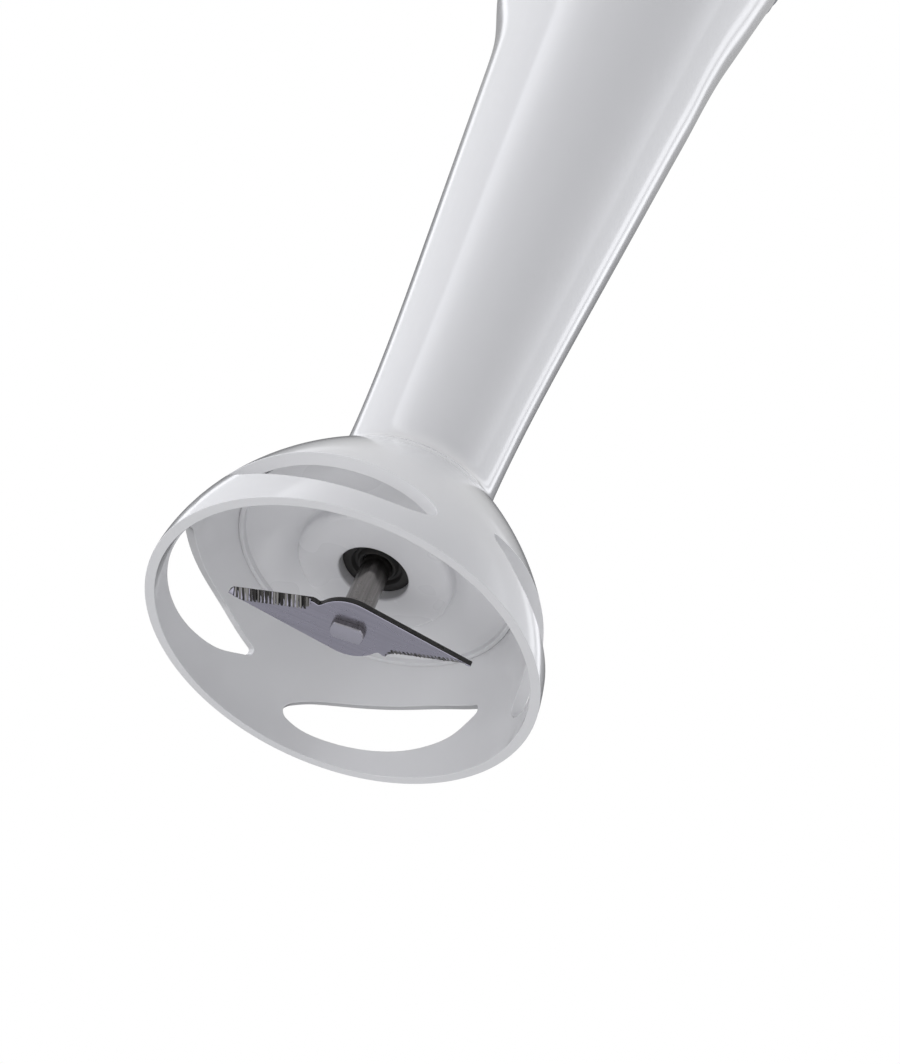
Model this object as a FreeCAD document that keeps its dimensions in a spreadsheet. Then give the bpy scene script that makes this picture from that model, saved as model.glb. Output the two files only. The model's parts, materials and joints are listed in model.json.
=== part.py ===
"""Immersion blender: a blending wand that twists into a motor handle.

Frame: millimetres, +Z up along the axis of the blade shaft, origin at the centre of the bell's rim,
so the part stands on its bell. The buttons face -Y.
"""
import FreeCAD, Part
import math
import os
import re
import Sketcher
from FreeCAD import Placement, Rotation, Vector

os.makedirs("parts", exist_ok=True)
doc = FreeCAD.newDocument("ImmersionBlender")

# ---------------------------------------------------------------- driving dimensions

DIMENSIONS = {
    "general": {
        "wall": 2.2,
        "running_gap": 0.05,
    },
    "bell": {
        "bell_radius": 32.5,
        "bell_height": 47.1,
        "dome_power": 1.87,
        "rim_inner_radius": 30.8,
        "bell_inner_height": 43.0,
        "rim_edge": 0.5,
        "dome_end": 32.6,
        "blend_height": 35.6,
        "blend_radius": 14.15,
        "neck_start": 39.5,
        "neck_radius": 13.55,
        "foot_height": 47.0,
        "foot_radius": 13.67,
        "foot_slope": 0.062,
        "bore_base": 42.0,
    },
    "slots": {
        "slot_count": 4,
        "slot_first_angle": 30.0,
        "slot_reach": 7.0,
    },
    "shaft tube": {
        "tube_radius_low": 14.1,
        "tube_height_low": 56.0,
        "tube_radius_mid": 16.9,
        "tube_height_mid": 93.0,
        "tube_radius_high": 20.15,
        "tube_height_high": 130.0,
        "flare_start_radius": 22.6,
        "flare_start": 158.0,
        "wand_top": 240.0,
    },
    "bell insert": {
        "insert_face": 19.5,
        "insert_thick": 3.0,
        "insert_radius": 23.0,
        "lip_radius": 24.2,
        "lip_depth": 0.8,
        "insert_back_radius": 21.3,
        "boss_radius": 13.3,
        "boss_face": 16.9,
        "boss_edge": 1.0,
        "seal_hole_radius": 5.9,
        "seal_shelf": 22.0,
        "shelf_radius": 3.6,
        "bush_seat": 25.0,
        "sleeve_top": 39.0,
        "sleeve_radius": 8.5,
    },
    "blade shaft": {
        "shaft_radius": 2.5,
        "shaft_top": 246.0,
        "bush_radius": 5.0,
        "upper_bush_base": 219.0,
        "upper_bush_length": 10.0,
        "seal_base": 18.6,
        "washer_radius": 4.8,
        "washer_thick": 0.7,
        "clip_radius": 4.4,
        "clip_thick": 0.8,
        "tang_length": 5.6,
        "tang_width": 3.6,
        "tang_base": 3.5,
    },
    "blade": {
        "blade_base": 4.64,
        "blade_thick": 1.1,
        "blade_angle": 82.6,
        "blade_hub_radius": 6.0,
        "blade_tip": 20.2,
        "bevel_width": 1.25,
        "bevel_depth": 0.85,
        "serration_pitch": 0.66,
        "serration_count": 19,
        "serration_depth": 0.35,
        "serration_margin": 0.8,
    },
    "wand neck": {
        "carrier_base": 221.0,
        "carrier_thick": 3.0,
        "carrier_radius": 28.3,
        "carrier_offset": -1.5,
        "carrier_hub_radius": 8.0,
        "post_radius": 3.5,
        "post_ring": 23.0,
        "screw_radius": 1.4,
        "screw_head_radius": 2.8,
        "screw_head_thick": 1.5,
        "collar_base": 236.5,
        "collar_top": 239.8,
        "collar_radius": 29.0,
        "collar_hole": 10.0,
        "spigot_radius": 19.0,
        "spigot_bore": 16.5,
        "spigot_top": 256.0,
        "lug_base": 249.0,
        "lug_top": 253.0,
        "lug_radius": 21.5,
        "lug_span": 24.0,
        "lug_count": 3,
        "twist": 30.0,
    },
    "coupling": {
        "coupling_radius": 9.0,
        "jaw_inner": 4.5,
        "jaw_span": 50.0,
        "driven_base": 240.6,
        "driven_face": 246.0,
        "driven_jaw_top": 251.5,
        "driven_hub_radius": 5.0,
        "driven_hub_base": 231.0,
        "drive_jaw_base": 247.0,
        "drive_face": 253.0,
        "drive_top": 258.0,
    },
    "lock collar": {
        "lock_base": 240.4,
        "lock_band_top": 246.4,
        "lock_band_radius": 32.9,
        "lock_step_radius": 30.0,
        "lock_step_top": 252.0,
        "lock_sleeve_radius": 27.0,
        "lock_top": 258.5,
        "lock_plate_hole": 12.0,
        "lock_groove_base": 248.6,
        "lock_groove_top": 256.6,
        "lock_groove_radius": 21.9,
        "lock_bore": 19.35,
        "entry_span": 28.0,
    },
    "housing": {
        "housing_base": 246.7,
        "housing_wall": 2.4,
        "base_radius": 32.95,
        "belly_height": 256.0,
        "belly_radius": 33.0,
        "shoulder_height": 268.0,
        "shoulder_radius": 32.35,
        "taper_height": 282.0,
        "taper_radius": 30.9,
        "waist_height": 300.0,
        "waist_radius": 29.0,
        "palm_height": 318.0,
        "palm_radius": 27.6,
        "button_height": 334.0,
        "button_level_radius": 26.95,
        "grip_height": 350.0,
        "grip_radius": 26.8,
        "housing_top": 366.0,
        "half_gap": 0.05,
        "boss_screw_x": 16.5,
        "boss_screw_low": 333.0,
        "boss_screw_high": 357.5,
        "boss_screw_radius": 4.4,
        "vent_count": 5,
        "vent_width": 1.8,
        "vent_height": 9.0,
        "vent_base": 258.5,
        "vent_pitch": 11.0,
    },
    "top cap": {
        "cap_base": 366.3,
        "cap_corner_height": 380.5,
        "cap_corner_radius": 21.3,
        "cap_side_arc": 24.0,
        "cap_top": 388.0,
        "cap_crown_arc": 13.0,
        "cap_flat_radius": 11.0,
        "cap_wall": 2.2,
        "cap_spigot_base": 362.5,
        "cap_spigot_radius": 24.2,
        "cap_vent_count": 10,
    },
    "cord inlet": {
        "inlet_bore": 3.6,
        "inlet_radius": 5.4,
        "inlet_flange_radius": 8.2,
        "inlet_flange_thick": 1.6,
        "inlet_base": 381.0,
        "clamp_length": 20.0,
        "clamp_width": 6.0,
        "clamp_thick": 3.0,
        "clamp_base": 371.0,
        "clamp_post_x": 7.0,
        "clamp_post_radius": 2.6,
        "clamp_screw_radius": 1.2,
    },
    "buttons": {
        "bezel_half_width": 10.2,
        "bezel_proud": 0.5,
        "low_button_height": 348.0,
        "high_button_height": 331.0,
        "button_radius": 7.2,
        "button_proud": 2.6,
        "button_gap": 0.3,
        "flange_radius": 8.2,
        "flange_outer": 22.9,
        "flange_inner": 21.7,
        "stem_radius": 2.2,
        "stem_end": 20.5,
        "spring_radius": 5.2,
        "spring_wire": 0.35,
        "spring_pitch": 2.1,
        "switch_size": 6.2,
        "switch_face": 17.2,
        "plunger_radius": 1.4,
        "plunger_face": 17.8,
    },
    "circuit board": {
        "board_face": 13.0,
        "board_back": 11.4,
        "board_half_width": 12.0,
        "board_base": 322.6,
        "board_top": 360.5,
        "capacitor_width": 15.0,
        "capacitor_depth": 7.5,
        "capacitor_height": 12.5,
        "capacitor_base": 336.0,
    },
    "motor": {
        "motor_shaft_radius": 3.0,
        "motor_shaft_base": 253.2,
        "motor_shaft_top": 323.0,
        "fan_base": 261.0,
        "fan_top": 267.0,
        "fan_radius": 22.5,
        "fan_hub_radius": 6.0,
        "fan_blades": 11,
        "fan_blade_thick": 0.9,
        "fan_plate": 1.2,
        "motor_radius": 23.0,
        "stack_base": 277.0,
        "stack_top": 301.0,
        "armature_radius": 13.1,
        "stator_bore": 13.6,
        "armature_slots": 12,
        "winding_radius": 12.0,
        "winding_inner": 4.5,
        "lower_winding_base": 273.2,
        "upper_winding_top": 304.4,
        "coil_inner": 15.2,
        "coil_outer": 19.9,
        "coil_overhang": 2.6,
        "pole_half_angle": 52.0,
        "coil_half_angle": 74.0,
        "commutator_radius": 7.6,
        "commutator_base": 305.0,
        "commutator_top": 314.0,
        "brush_size": 5.0,
        "brush_height": 309.5,
        "brush_length": 9.0,
        "brush_gap": 0.1,
        "brush_spring_radius": 1.8,
        "brush_spring_wire": 0.25,
        "brush_spring_pitch": 0.9,
        "holder_inner_end": 9.6,
        "holder_outer_end": 23.6,
        "holder_wall": 0.9,
        "bracket_wall": 1.8,
        "lower_bracket_base": 268.0,
        "upper_bracket_top": 320.4,
        "bearing_radius": 7.5,
        "bearing_length": 4.5,
        "bearing_hub": 9.5,
        "bracket_window_radius": 4.6,
        "bracket_window_ring": 15.5,
        "lower_mount_radius": 28.6,
        "upper_mount_radius": 24.6,
        "mount_length": 5.0,
    },
}

sheet = doc.addObject("Spreadsheet::Sheet", "Dims")
dims = {}
row = 0
for heading, cells in DIMENSIONS.items():
    row += 1
    sheet.set("A%d" % row, heading)
    for alias, number in cells.items():
        row += 1
        sheet.set("A%d" % row, alias.replace("_", " "))
        sheet.set("B%d" % row, str(number))
        sheet.setAlias("B%d" % row, alias)
        dims[alias] = number
doc.recompute()


# ---------------------------------------------------------------- building helpers

def in_sheet(expression):
    """The expression with every dimension's name pointed at the sheet."""
    return re.sub(r"[a-z]+_[a-z_]+|\bwall\b|\btwist\b", r"Dims.\g<0>", str(expression))


def value(expression):
    """The number that an expression in dimension names comes to."""
    result = sheet.evalExpression(in_sheet(expression))
    return getattr(result, "Value", result)


def bind(item, prop, expression):
    item.setExpression(prop, in_sheet(expression))


def origin_plane(body, role):
    return next(feature for feature in body.Origin.OriginFeatures if feature.Role == role)


def draw_outline(sketch, corners):
    """A closed outline. A corner is (across, up) or (across, up, radius) where an arc leads on to the
    next corner; a negative radius curves clockwise."""
    points = [Vector(value(c[0]), value(c[1]), 0) for c in corners]
    starts = []
    ends = []
    for i, corner in enumerate(corners):
        first, last = points[i], points[(i + 1) % len(points)]
        if len(corner) == 2:
            index = sketch.addGeometry(Part.LineSegment(first, last), False)
            starts.append((index, 1))
            ends.append((index, 2))
            continue
        radius = value(corner[2])
        chord = last - first
        half = chord.Length / 2
        side = Vector(-chord.y, chord.x, 0).normalize() * math.copysign(1, radius)
        centre = (first + last) * 0.5 + side * math.sqrt(max(radius * radius - half * half, 0))
        circle = Part.Circle(centre, Vector(0, 0, 1), abs(radius))
        a, b = (first, last) if radius > 0 else (last, first)
        angles = [math.atan2(p.y - centre.y, p.x - centre.x) for p in (a, b)]
        index = sketch.addGeometry(Part.ArcOfCircle(circle, *angles), False)
        starts.append((index, 1 if radius > 0 else 2))
        ends.append((index, 2 if radius > 0 else 1))
        number = sketch.addConstraint(Sketcher.Constraint("Radius", index, abs(radius)))
        bind(sketch, "Constraints[%d]" % number, "abs(%s)" % corner[2])
    for i, corner in enumerate(corners):
        sketch.addConstraint(Sketcher.Constraint("Coincident", *ends[i - 1], *starts[i]))
        for kind, axis, place, size in (("DistanceX", -2, corner[0], points[i].x),
                                        ("DistanceY", -1, corner[1], points[i].y)):
            if abs(size) < 1e-9:
                sketch.addConstraint(Sketcher.Constraint("PointOnObject", *starts[i], axis))
                continue
            number = sketch.addConstraint(Sketcher.Constraint(kind, -1, 1, *starts[i], size))
            bind(sketch, "Constraints[%d]" % number, place)


def new_sketch(body, plane, corners):
    sketch = body.newObject("Sketcher::SketchObject", body.Name + "_outline")
    sketch.AttachmentSupport = [(origin_plane(body, plane), "")]
    sketch.MapMode = "FlatFace"
    draw_outline(sketch, corners)
    return sketch


def turned(name, corners):
    """A body turned about the Z axis from an outline of (radius, height) corners."""
    body = doc.addObject("PartDesign::Body", name)
    sketch = new_sketch(body, "XZ_Plane", corners)
    turn = body.newObject("PartDesign::Revolution", name + "_turn")
    turn.Profile = sketch
    turn.ReferenceAxis = (sketch, ["V_Axis"])
    turn.Angle = 360
    return body


def ring(name, inner, outer, base, top):
    return turned(name, [(inner, base), (outer, base), (outer, top), (inner, top)])


def placed(item, x, y, z):
    for axis, expression in zip("xyz", (x, y, z)):
        bind(item, "Placement.Base." + axis, expression)
    return item


def block(name, low, high):
    """A box from its lowest corner to its highest."""
    item = doc.addObject("Part::Box", name)
    for prop, a, b in zip(("Length", "Width", "Height"), low, high):
        bind(item, prop, "(%s) - (%s)" % (b, a))
    return placed(item, *low)


def cylinder(name, radius, start, length, along="Z", span=None):
    """A cylinder from the middle of its first end, along an axis."""
    item = doc.addObject("Part::Cylinder", name)
    bind(item, "Radius", radius)
    bind(item, "Height", length)
    if span is not None:
        bind(item, "Angle", span)
    turns = {"Z": Rotation(), "Y": Rotation(Vector(1, 0, 0), -90), "X": Rotation(Vector(0, 1, 0), 90)}
    item.Placement = Placement(Vector(), turns[along])
    return placed(item, *start)


def combined(kind, name, items):
    item = doc.addObject("Part::" + kind, name)
    if kind in ("MultiFuse", "MultiCommon"):
        item.Shapes = items
    else:
        item.Base, item.Tool = items
    return item


def fused(name, *items):
    return combined("MultiFuse", name, list(items))


def cut(name, base, *tools):
    tool = tools[0] if len(tools) == 1 else fused(name + "_tools", *tools)
    return combined("Cut", name, [base, tool])


def common(name, *items):
    return combined("MultiCommon", name, list(items))


def turned_to(item, angle):
    """The item turned about the Z axis by an angle in degrees."""
    holder = doc.addObject("Part::Compound", item.Name + "Turned")
    holder.Links = [item]
    holder.Placement = Placement(Vector(), Rotation(Vector(0, 0, 1), angle))
    return holder


def sector(name, inner, outer, base, top, middle, span):
    """Part of a ring, spanning some degrees either side of a middle angle."""
    parts = []
    for suffix, radius in (("_outer", outer), ("_inner", inner)):
        part = cylinder(name + suffix, radius, (0, 0, base), "(%s) - (%s)" % (top, base), span=span)
        part.Placement = Placement(part.Placement.Base, Rotation(Vector(0, 0, 1), middle - value(span) / 2))
        parts.append(part)
    return combined("Cut", name, parts)


def shaped(name, shape):
    """A feature that holds a shape made with Part's own functions."""
    item = doc.addObject("Part::Feature", name)
    item.Shape = shape
    return item


def coil(radius, wire, pitch, length):
    """A coil spring: a round wire swept square to its helix."""
    helix = Part.makeLongHelix(pitch, length, radius)
    heading = Vector(0, 2 * math.pi * radius, pitch)
    section = Part.Wire(Part.makeCircle(wire, Vector(radius, 0, 0), heading))
    return Part.Wire(helix).makePipeShell([section], True, True)


nodes = {}


def node(label, item):
    """Registers an item as one of the blender's pieces."""
    item.Label = label
    nodes[label] = item
    return item


# ---------------------------------------------------------------- wand shell: bell, tube and flare

def dome_radius(rim, height, level):
    """The bell narrows upwards by a power of the height."""
    return rim * (1 - (level / height) ** dims["dome_power"])


def dome_slope(rim, height, level):
    power = dims["dome_power"]
    return -rim * power / height * (level / height) ** (power - 1)


def smooth_edge(points, start_slope=None, end_slope=None):
    """A smooth curve through (radius, height) points, with dr/dz given at its ends."""
    curve = Part.BSplineCurve()
    vectors = [Vector(r, 0, z) for r, z in points]
    if start_slope is None:
        curve.interpolate(vectors)
    else:
        reach = (vectors[-1] - vectors[0]).Length
        tangents = [Vector(s, 0, 1).normalize() * reach for s in (start_slope, end_slope)]
        curve.interpolate(Points=vectors, InitialTangent=tangents[0], FinalTangent=tangents[1])
    return curve.toShape()


# The flare, from its start to the wand's top: (share of its height, reach to the front, reach to the
# back). It opens sooner at the front.
FLARE = ((0.11, 23.5, 23.4), (0.22, 24.9, 24.1), (0.34, 27.2, 24.95), (0.47, 29.9, 26.1),
         (0.62, 31.7, 27.8), (0.80, 32.6, 29.9), (1.0, 32.9, 32.3))


def tube_sections():
    """(height, reach to the front, reach to the back) up the tube and its flare."""
    straight = [(dims["tube_height_" + name], dims["tube_radius_" + name]) for name in ("low", "mid", "high")]
    straight.append((dims["flare_start"], dims["flare_start_radius"]))
    rise = dims["wand_top"] - dims["flare_start"]
    return ([(level, radius, radius) for level, radius in straight]
            + [(dims["flare_start"] + share * rise, front, back) for share, front, back in FLARE])


def tube_solid(inset, bottom, bottom_radius):
    """The tube and its flare as one loft of circles, drawn in by an inset."""
    rings = [(bottom, bottom_radius, bottom_radius)] + tube_sections()
    wires = []
    for level, front, back in rings:
        radius = (front + back) / 2 - inset
        middle = Vector(0, (back - front) / 2, level)
        wires.append(Part.Wire(Part.makeCircle(radius, middle, Vector(0, 0, 1))))
    return Part.makeLoft(wires, True, False)


def revolved(edges):
    wire = Part.Wire(edges)
    return Part.Face(wire).revolve(Vector(0, 0, 0), Vector(0, 0, 1), 360)


def bell_solid():
    """The bell's outer form, blended into the foot of the tube."""
    rim, height, start = dims["bell_radius"], dims["bell_height"], dims["rim_edge"]
    end, neck_z, neck_r = dims["dome_end"], dims["neck_start"], dims["neck_radius"]
    levels = [start + (end - start) * i / 6 for i in range(7)]
    dome = smooth_edge([(dome_radius(rim, height, z), z) for z in levels],
                       dome_slope(rim, height, start), dome_slope(rim, height, end))
    low_r = dims["tube_radius_low"]
    blend = smooth_edge([(dome_radius(rim, height, end), end),
                         (dims["blend_radius"], dims["blend_height"]), (neck_r, neck_z)],
                        dome_slope(rim, height, end), 0.0)
    foot = smooth_edge([(neck_r, neck_z), (dims["foot_radius"], dims["foot_height"]),
                        (low_r, dims["tube_height_low"])], 0.0, dims["foot_slope"])
    rim_r = dome_radius(rim, height, start)
    corners = [Vector(low_r, 0, dims["tube_height_low"]), Vector(0, 0, dims["tube_height_low"]),
               Vector(0, 0, 0), Vector(rim_r - start, 0, 0), Vector(rim_r, 0, start)]
    lines = [Part.LineSegment(a, b).toShape() for a, b in zip(corners[:-2], corners[1:-1])]
    corner_mid = corners[3] + Vector(start * math.sin(math.radians(45)), 0,
                                     start * (1 - math.cos(math.radians(45))))
    edge = Part.Arc(corners[3], corner_mid, corners[4]).toShape()
    return revolved([dome, blend, foot] + lines + [edge])


def bell_hollow():
    """The space inside the bell, up to the bore of the tube."""
    rim, height = dims["rim_inner_radius"], dims["bell_inner_height"]
    bore = dims["neck_radius"] - dims["wall"]
    end = height * (1 - bore / rim) ** (1 / dims["dome_power"])
    levels = [0.0] + [end * i / 6 for i in range(1, 7)]
    dome = smooth_edge([(dome_radius(rim, height, z), z) for z in levels],
                       0.0, dome_slope(rim, height, end))
    top = dims["bore_base"]
    corners = [Vector(bore, 0, end), Vector(bore, 0, top), Vector(0, 0, top), Vector(0, 0, -1),
               Vector(rim, 0, -1), Vector(rim, 0, 0)]
    lines = [Part.LineSegment(a, b).toShape() for a, b in zip(corners, corners[1:])]
    return revolved([dome] + lines)


# One slot's upper and lower curves: (degrees from its start, height).
SLOT_UPPER = ((0, 12.0), (6, 12.75), (18, 13.6), (32, 13.4), (45, 12.5), (58, 11.0), (66, 9.3), (71, 7.3))
SLOT_LOWER = ((0, 11.2), (5, 9.6), (10, 8.15), (18, 6.7), (28, 5.5), (42, 4.6), (56, 4.25), (66, 4.75),
              (71, 5.8))


def slot_cutter():
    """One leaf-shaped slot, square to the bell's wall: four ruled sides between a pair of curves."""
    rim, height, reach = dims["bell_radius"], dims["bell_height"], dims["slot_reach"]
    first = dims["slot_first_angle"]

    def curve(outline, side):
        points = []
        for angle, level in outline:
            slope = dome_slope(rim, height, level)
            normal = Vector(1, 0, -slope).normalize()
            spot = Vector(dome_radius(rim, height, level), 0, level) + normal * (reach * side)
            points.append(Rotation(Vector(0, 0, 1), first + angle).multVec(spot))
        line = Part.BSplineCurve()
        line.interpolate(points)
        return line.toShape()

    edges = {(k, s): curve(o, s) for k, o in (("up", SLOT_UPPER), ("low", SLOT_LOWER)) for s in (-1, 1)}
    ends = {}
    for which in (0, -1):
        for side in (-1, 1):
            a = edges["up", side].Vertexes[which].Point
            b = edges["low", side].Vertexes[which].Point
            ends[which, side] = Part.LineSegment(a, b).toShape()
    faces = [Part.makeRuledSurface(edges["up", -1], edges["up", 1]),
             Part.makeRuledSurface(edges["low", -1], edges["low", 1]),
             Part.makeRuledSurface(edges["up", -1], edges["low", -1]),
             Part.makeRuledSurface(edges["up", 1], edges["low", 1]),
             Part.makeRuledSurface(ends[0, -1], ends[0, 1]),
             Part.makeRuledSurface(ends[-1, -1], ends[-1, 1])]
    shell = Part.makeShell(faces)
    shell.sewShape()
    solid = Part.makeSolid(shell)
    if solid.Volume < 0:
        solid.reverse()
    return solid


def wand_shell_shape():
    outer = bell_solid().fuse(tube_solid(0, dims["foot_height"], dims["foot_radius"]))
    bore = tube_solid(dims["wall"], dims["bore_base"], dims["neck_radius"])
    shell = outer.cut(bell_hollow().fuse(bore))
    cutter = slot_cutter()
    for i in range(int(dims["slot_count"])):
        turn = cutter.copy()
        turn.rotate(Vector(0, 0, 0), Vector(0, 0, 1), 360 / dims["slot_count"] * i)
        shell = shell.cut(turn)
    return shell


node("wand_shell", shaped("WandShell", wand_shell_shape()))

# ---------------------------------------------------------------- bell insert, seal and bushes

node("bell_insert", turned("BellInsert", [
    ("seal_hole_radius", "boss_face"),
    ("boss_radius - boss_edge", "boss_face", "boss_edge"),
    ("boss_radius", "boss_face + boss_edge"),
    ("boss_radius", "insert_face"),
    ("insert_radius", "insert_face"),
    ("insert_radius + 0.2", "insert_face - lip_depth"),
    ("lip_radius", "insert_face - lip_depth"),
    ("insert_back_radius", "insert_face + insert_thick"),
    ("sleeve_radius", "insert_face + insert_thick"),
    ("sleeve_radius", "sleeve_top"),
    ("bush_radius", "sleeve_top"),
    ("bush_radius", "bush_seat"),
    ("shelf_radius", "bush_seat"),
    ("shelf_radius", "seal_shelf"),
    ("seal_hole_radius", "seal_shelf")]))

seal_bore = "shaft_radius + running_gap"
node("shaft_seal", turned("ShaftSeal", [
    (seal_bore, "seal_base + 0.5"),
    ("shaft_radius + 0.6", "seal_base"),
    ("shaft_radius + 1.1", "seal_base + 1"),
    ("shaft_radius + 1.8", "seal_base + 1"),
    ("shaft_radius + 2.2", "seal_base + 0.2"),
    ("seal_hole_radius", "seal_base + 0.2"),
    ("seal_hole_radius", "seal_shelf"),
    (seal_bore, "seal_shelf")]))

node("lower_bush", ring("LowerBush", seal_bore, "bush_radius", "bush_seat", "sleeve_top - 0.1"))
node("upper_bush", ring("UpperBush", seal_bore, "bush_radius",
                        "upper_bush_base", "upper_bush_base + upper_bush_length"))
washer_base = "sleeve_top + 0.05"
node("thrust_washer", ring("ThrustWasher", "shaft_radius + 0.1", "washer_radius",
                           washer_base, washer_base + " + washer_thick"))

# ---------------------------------------------------------------- blade shaft, blade and clip

tang = common("Tang",
              block("TangFlats", ("-tang_length / 2", "-tang_width / 2", "tang_base"),
                    ("tang_length / 2", "tang_width / 2", "blade_base + blade_thick")),
              cylinder("TangRound", "tang_length / 2", (0, 0, "tang_base"),
                       "blade_base + blade_thick - tang_base"))
tang = turned_to(tang, value("blade_angle"))
round_shaft = cylinder("RoundShaft", "shaft_radius", (0, 0, "blade_base + blade_thick"),
                       "shaft_top - blade_base - blade_thick")
node("blade_shaft", fused("BladeShaft", round_shaft, tang))

clip_base = washer_base + " + washer_thick + 0.15"
clip_ring = ring("ClipRing", "shaft_radius", "clip_radius", clip_base, clip_base + " + clip_thick")
clip_mouth = block("ClipMouth", ("0", "-shaft_radius * 0.7", clip_base + " - 1"),
                   ("clip_radius + 1", "shaft_radius * 0.7", clip_base + " + clip_thick + 1"))
node("retaining_clip", cut("RetainingClip", clip_ring, clip_mouth))


TIP = dims["blade_tip"]
EDGE_START = Vector(6.6, 3.75, 0)
EDGE_END = Vector(TIP - 0.55, 0, 0)
WING = (Vector(3.5, -5.7, 0), Vector(TIP, -0.8, 0), EDGE_END, EDGE_START, Vector(5.0, 3.6, 0))


def wing_grind():
    """What is ground off one wing: a bevel along its edge and a row of serrations."""
    along = (EDGE_END - EDGE_START).normalize()
    outward = Vector(-along.y, along.x, 0)
    width, depth, pitch = dims["bevel_width"], dims["bevel_depth"], dims["serration_pitch"]
    overrun = 0.5
    corner = EDGE_START - along * 0.2
    inner, outer = corner - outward * width, corner + outward * overrun
    top = outer + Vector(0, 0, depth * (width + overrun) / width)
    wedge = Part.Face(Part.makePolygon([inner, outer, top, inner]))
    grind = wedge.extrude(along * (EDGE_END - EDGE_START).Length * 1.1)
    downward = -outward - Vector(0, 0, depth / width)
    for i in range(int(dims["serration_count"])):
        spot = EDGE_START + along * (dims["serration_margin"] + pitch * i) + Vector(0, 0, depth)
        grind = grind.fuse(Part.makeCylinder(dims["serration_depth"], width + 2 * overrun,
                                             spot + outward * overrun, downward))
    return grind


def blade_shape():
    """A two-winged blade: each wing has a ground, serrated leading edge and a plain back edge."""
    thick = dims["blade_thick"]
    outline = list(WING) + [-corner for corner in WING]
    face = Part.Face(Part.makePolygon(outline + outline[:1]))
    plate = face.extrude(Vector(0, 0, thick))
    plate = plate.fuse(Part.makeCylinder(dims["blade_hub_radius"], thick)).removeSplitter()
    for turn in (0, 180):
        grind = wing_grind()
        grind.rotate(Vector(0, 0, 0), Vector(0, 0, 1), turn)
        plate = plate.cut(grind)
    plate.translate(Vector(0, 0, dims["blade_base"]))
    plate.rotate(Vector(0, 0, 0), Vector(0, 0, 1), dims["blade_angle"])
    return plate


node("blade", cut("Blade", shaped("BladePlate", blade_shape()), tang))

# ---------------------------------------------------------------- top of the wand

carrier_top = "carrier_base + carrier_thick"
carrier_parts = [
    cylinder("CarrierPlate", "carrier_radius", (0, "carrier_offset", "carrier_base"), "carrier_thick"),
    cylinder("CarrierHub", "carrier_hub_radius", (0, 0, "upper_bush_base"), "upper_bush_length")]
carrier_holes = [cylinder("CarrierBore", "bush_radius", (0, 0, "upper_bush_base - 1"),
                          "upper_bush_length + 2")]
screws = []
collar_holes = []
for i in range(3):
    angle = math.radians(120 * i + 90)
    across = "post_ring * %.6f" % math.cos(angle)
    along = "post_ring * %.6f" % math.sin(angle)
    carrier_parts.append(cylinder("Post%d" % i, "post_radius", (across, along, "carrier_base"),
                                  "collar_base - carrier_base"))
    carrier_holes.append(cylinder("PostBore%d" % i, "screw_radius", (across, along, "carrier_base - 1"),
                                  "collar_base - carrier_base + 2"))
    opening_angle = angle + math.radians(60)
    carrier_holes.append(cylinder(
        "Window%d" % i, "carrier_hub_radius",
        ("post_ring * %.6f * 0.75" % math.cos(opening_angle),
         "post_ring * %.6f * 0.75" % math.sin(opening_angle), "carrier_base - 1"), "carrier_thick + 2"))
    shank = cylinder("Shank%d" % i, "screw_radius", (across, along, "carrier_base + 4"),
                     "collar_top - screw_head_thick - carrier_base - 4")
    head = cylinder("Head%d" % i, "screw_head_radius", (across, along, "collar_top - screw_head_thick"),
                    "screw_head_thick - 0.1")
    screws.append(fused("CollarScrew%d" % i, shank, head))
    collar_holes.append(cylinder("ShankHole%d" % i, "screw_radius", (across, along, "collar_base - 1"),
                                 "collar_top - collar_base + 2"))
    collar_holes.append(cylinder("HeadHole%d" % i, "screw_head_radius",
                                 (across, along, "collar_top - screw_head_thick"), "5"))
node("bearing_carrier", cut("BearingCarrier", fused("CarrierBody", *carrier_parts), *carrier_holes))
node("collar_screws", fused("CollarScrews", *screws))

neck = turned("NeckRing", [
    ("collar_hole", "collar_base"), ("collar_radius", "collar_base"), ("collar_radius", "collar_top"),
    ("spigot_radius", "collar_top"), ("spigot_radius", "spigot_top"), ("spigot_bore", "spigot_top"),
    ("spigot_bore", "collar_top"), ("collar_hole", "collar_top")])
LUG_COUNT = int(dims["lug_count"])
lugs = [sector("Lug%d" % i, "spigot_bore + 1", "lug_radius", "lug_base", "lug_top",
               360 / LUG_COUNT * i, "lug_span") for i in range(LUG_COUNT)]
node("wand_collar", cut("WandCollar", fused("CollarBody", neck, *lugs), *collar_holes))

# ---------------------------------------------------------------- jaw coupling


def jaws(name, base, top, first):
    return [sector("%sJaw%d" % (name, i), "jaw_inner", "coupling_radius", base, top, first + 180 * i,
                   "jaw_span") for i in range(2)]


driven_disc = turned("DrivenDisc", [
    ("shaft_radius", "driven_hub_base"), ("driven_hub_radius", "driven_hub_base"),
    ("driven_hub_radius", "driven_base"), ("coupling_radius", "driven_base"),
    ("coupling_radius", "driven_face"), ("shaft_radius", "driven_face")])
node("driven_coupling", fused("DrivenCoupling", driven_disc,
                              *jaws("Driven", "driven_face - 0.5", "driven_jaw_top", 0)))
drive_disc = ring("DriveDisc", "motor_shaft_radius", "coupling_radius", "drive_face", "drive_top")
node("drive_coupling", fused("DriveCoupling", drive_disc,
                             *jaws("Drive", "drive_jaw_base", "drive_face + 0.5", 90)))

# ---------------------------------------------------------------- lock collar of the handle

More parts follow.
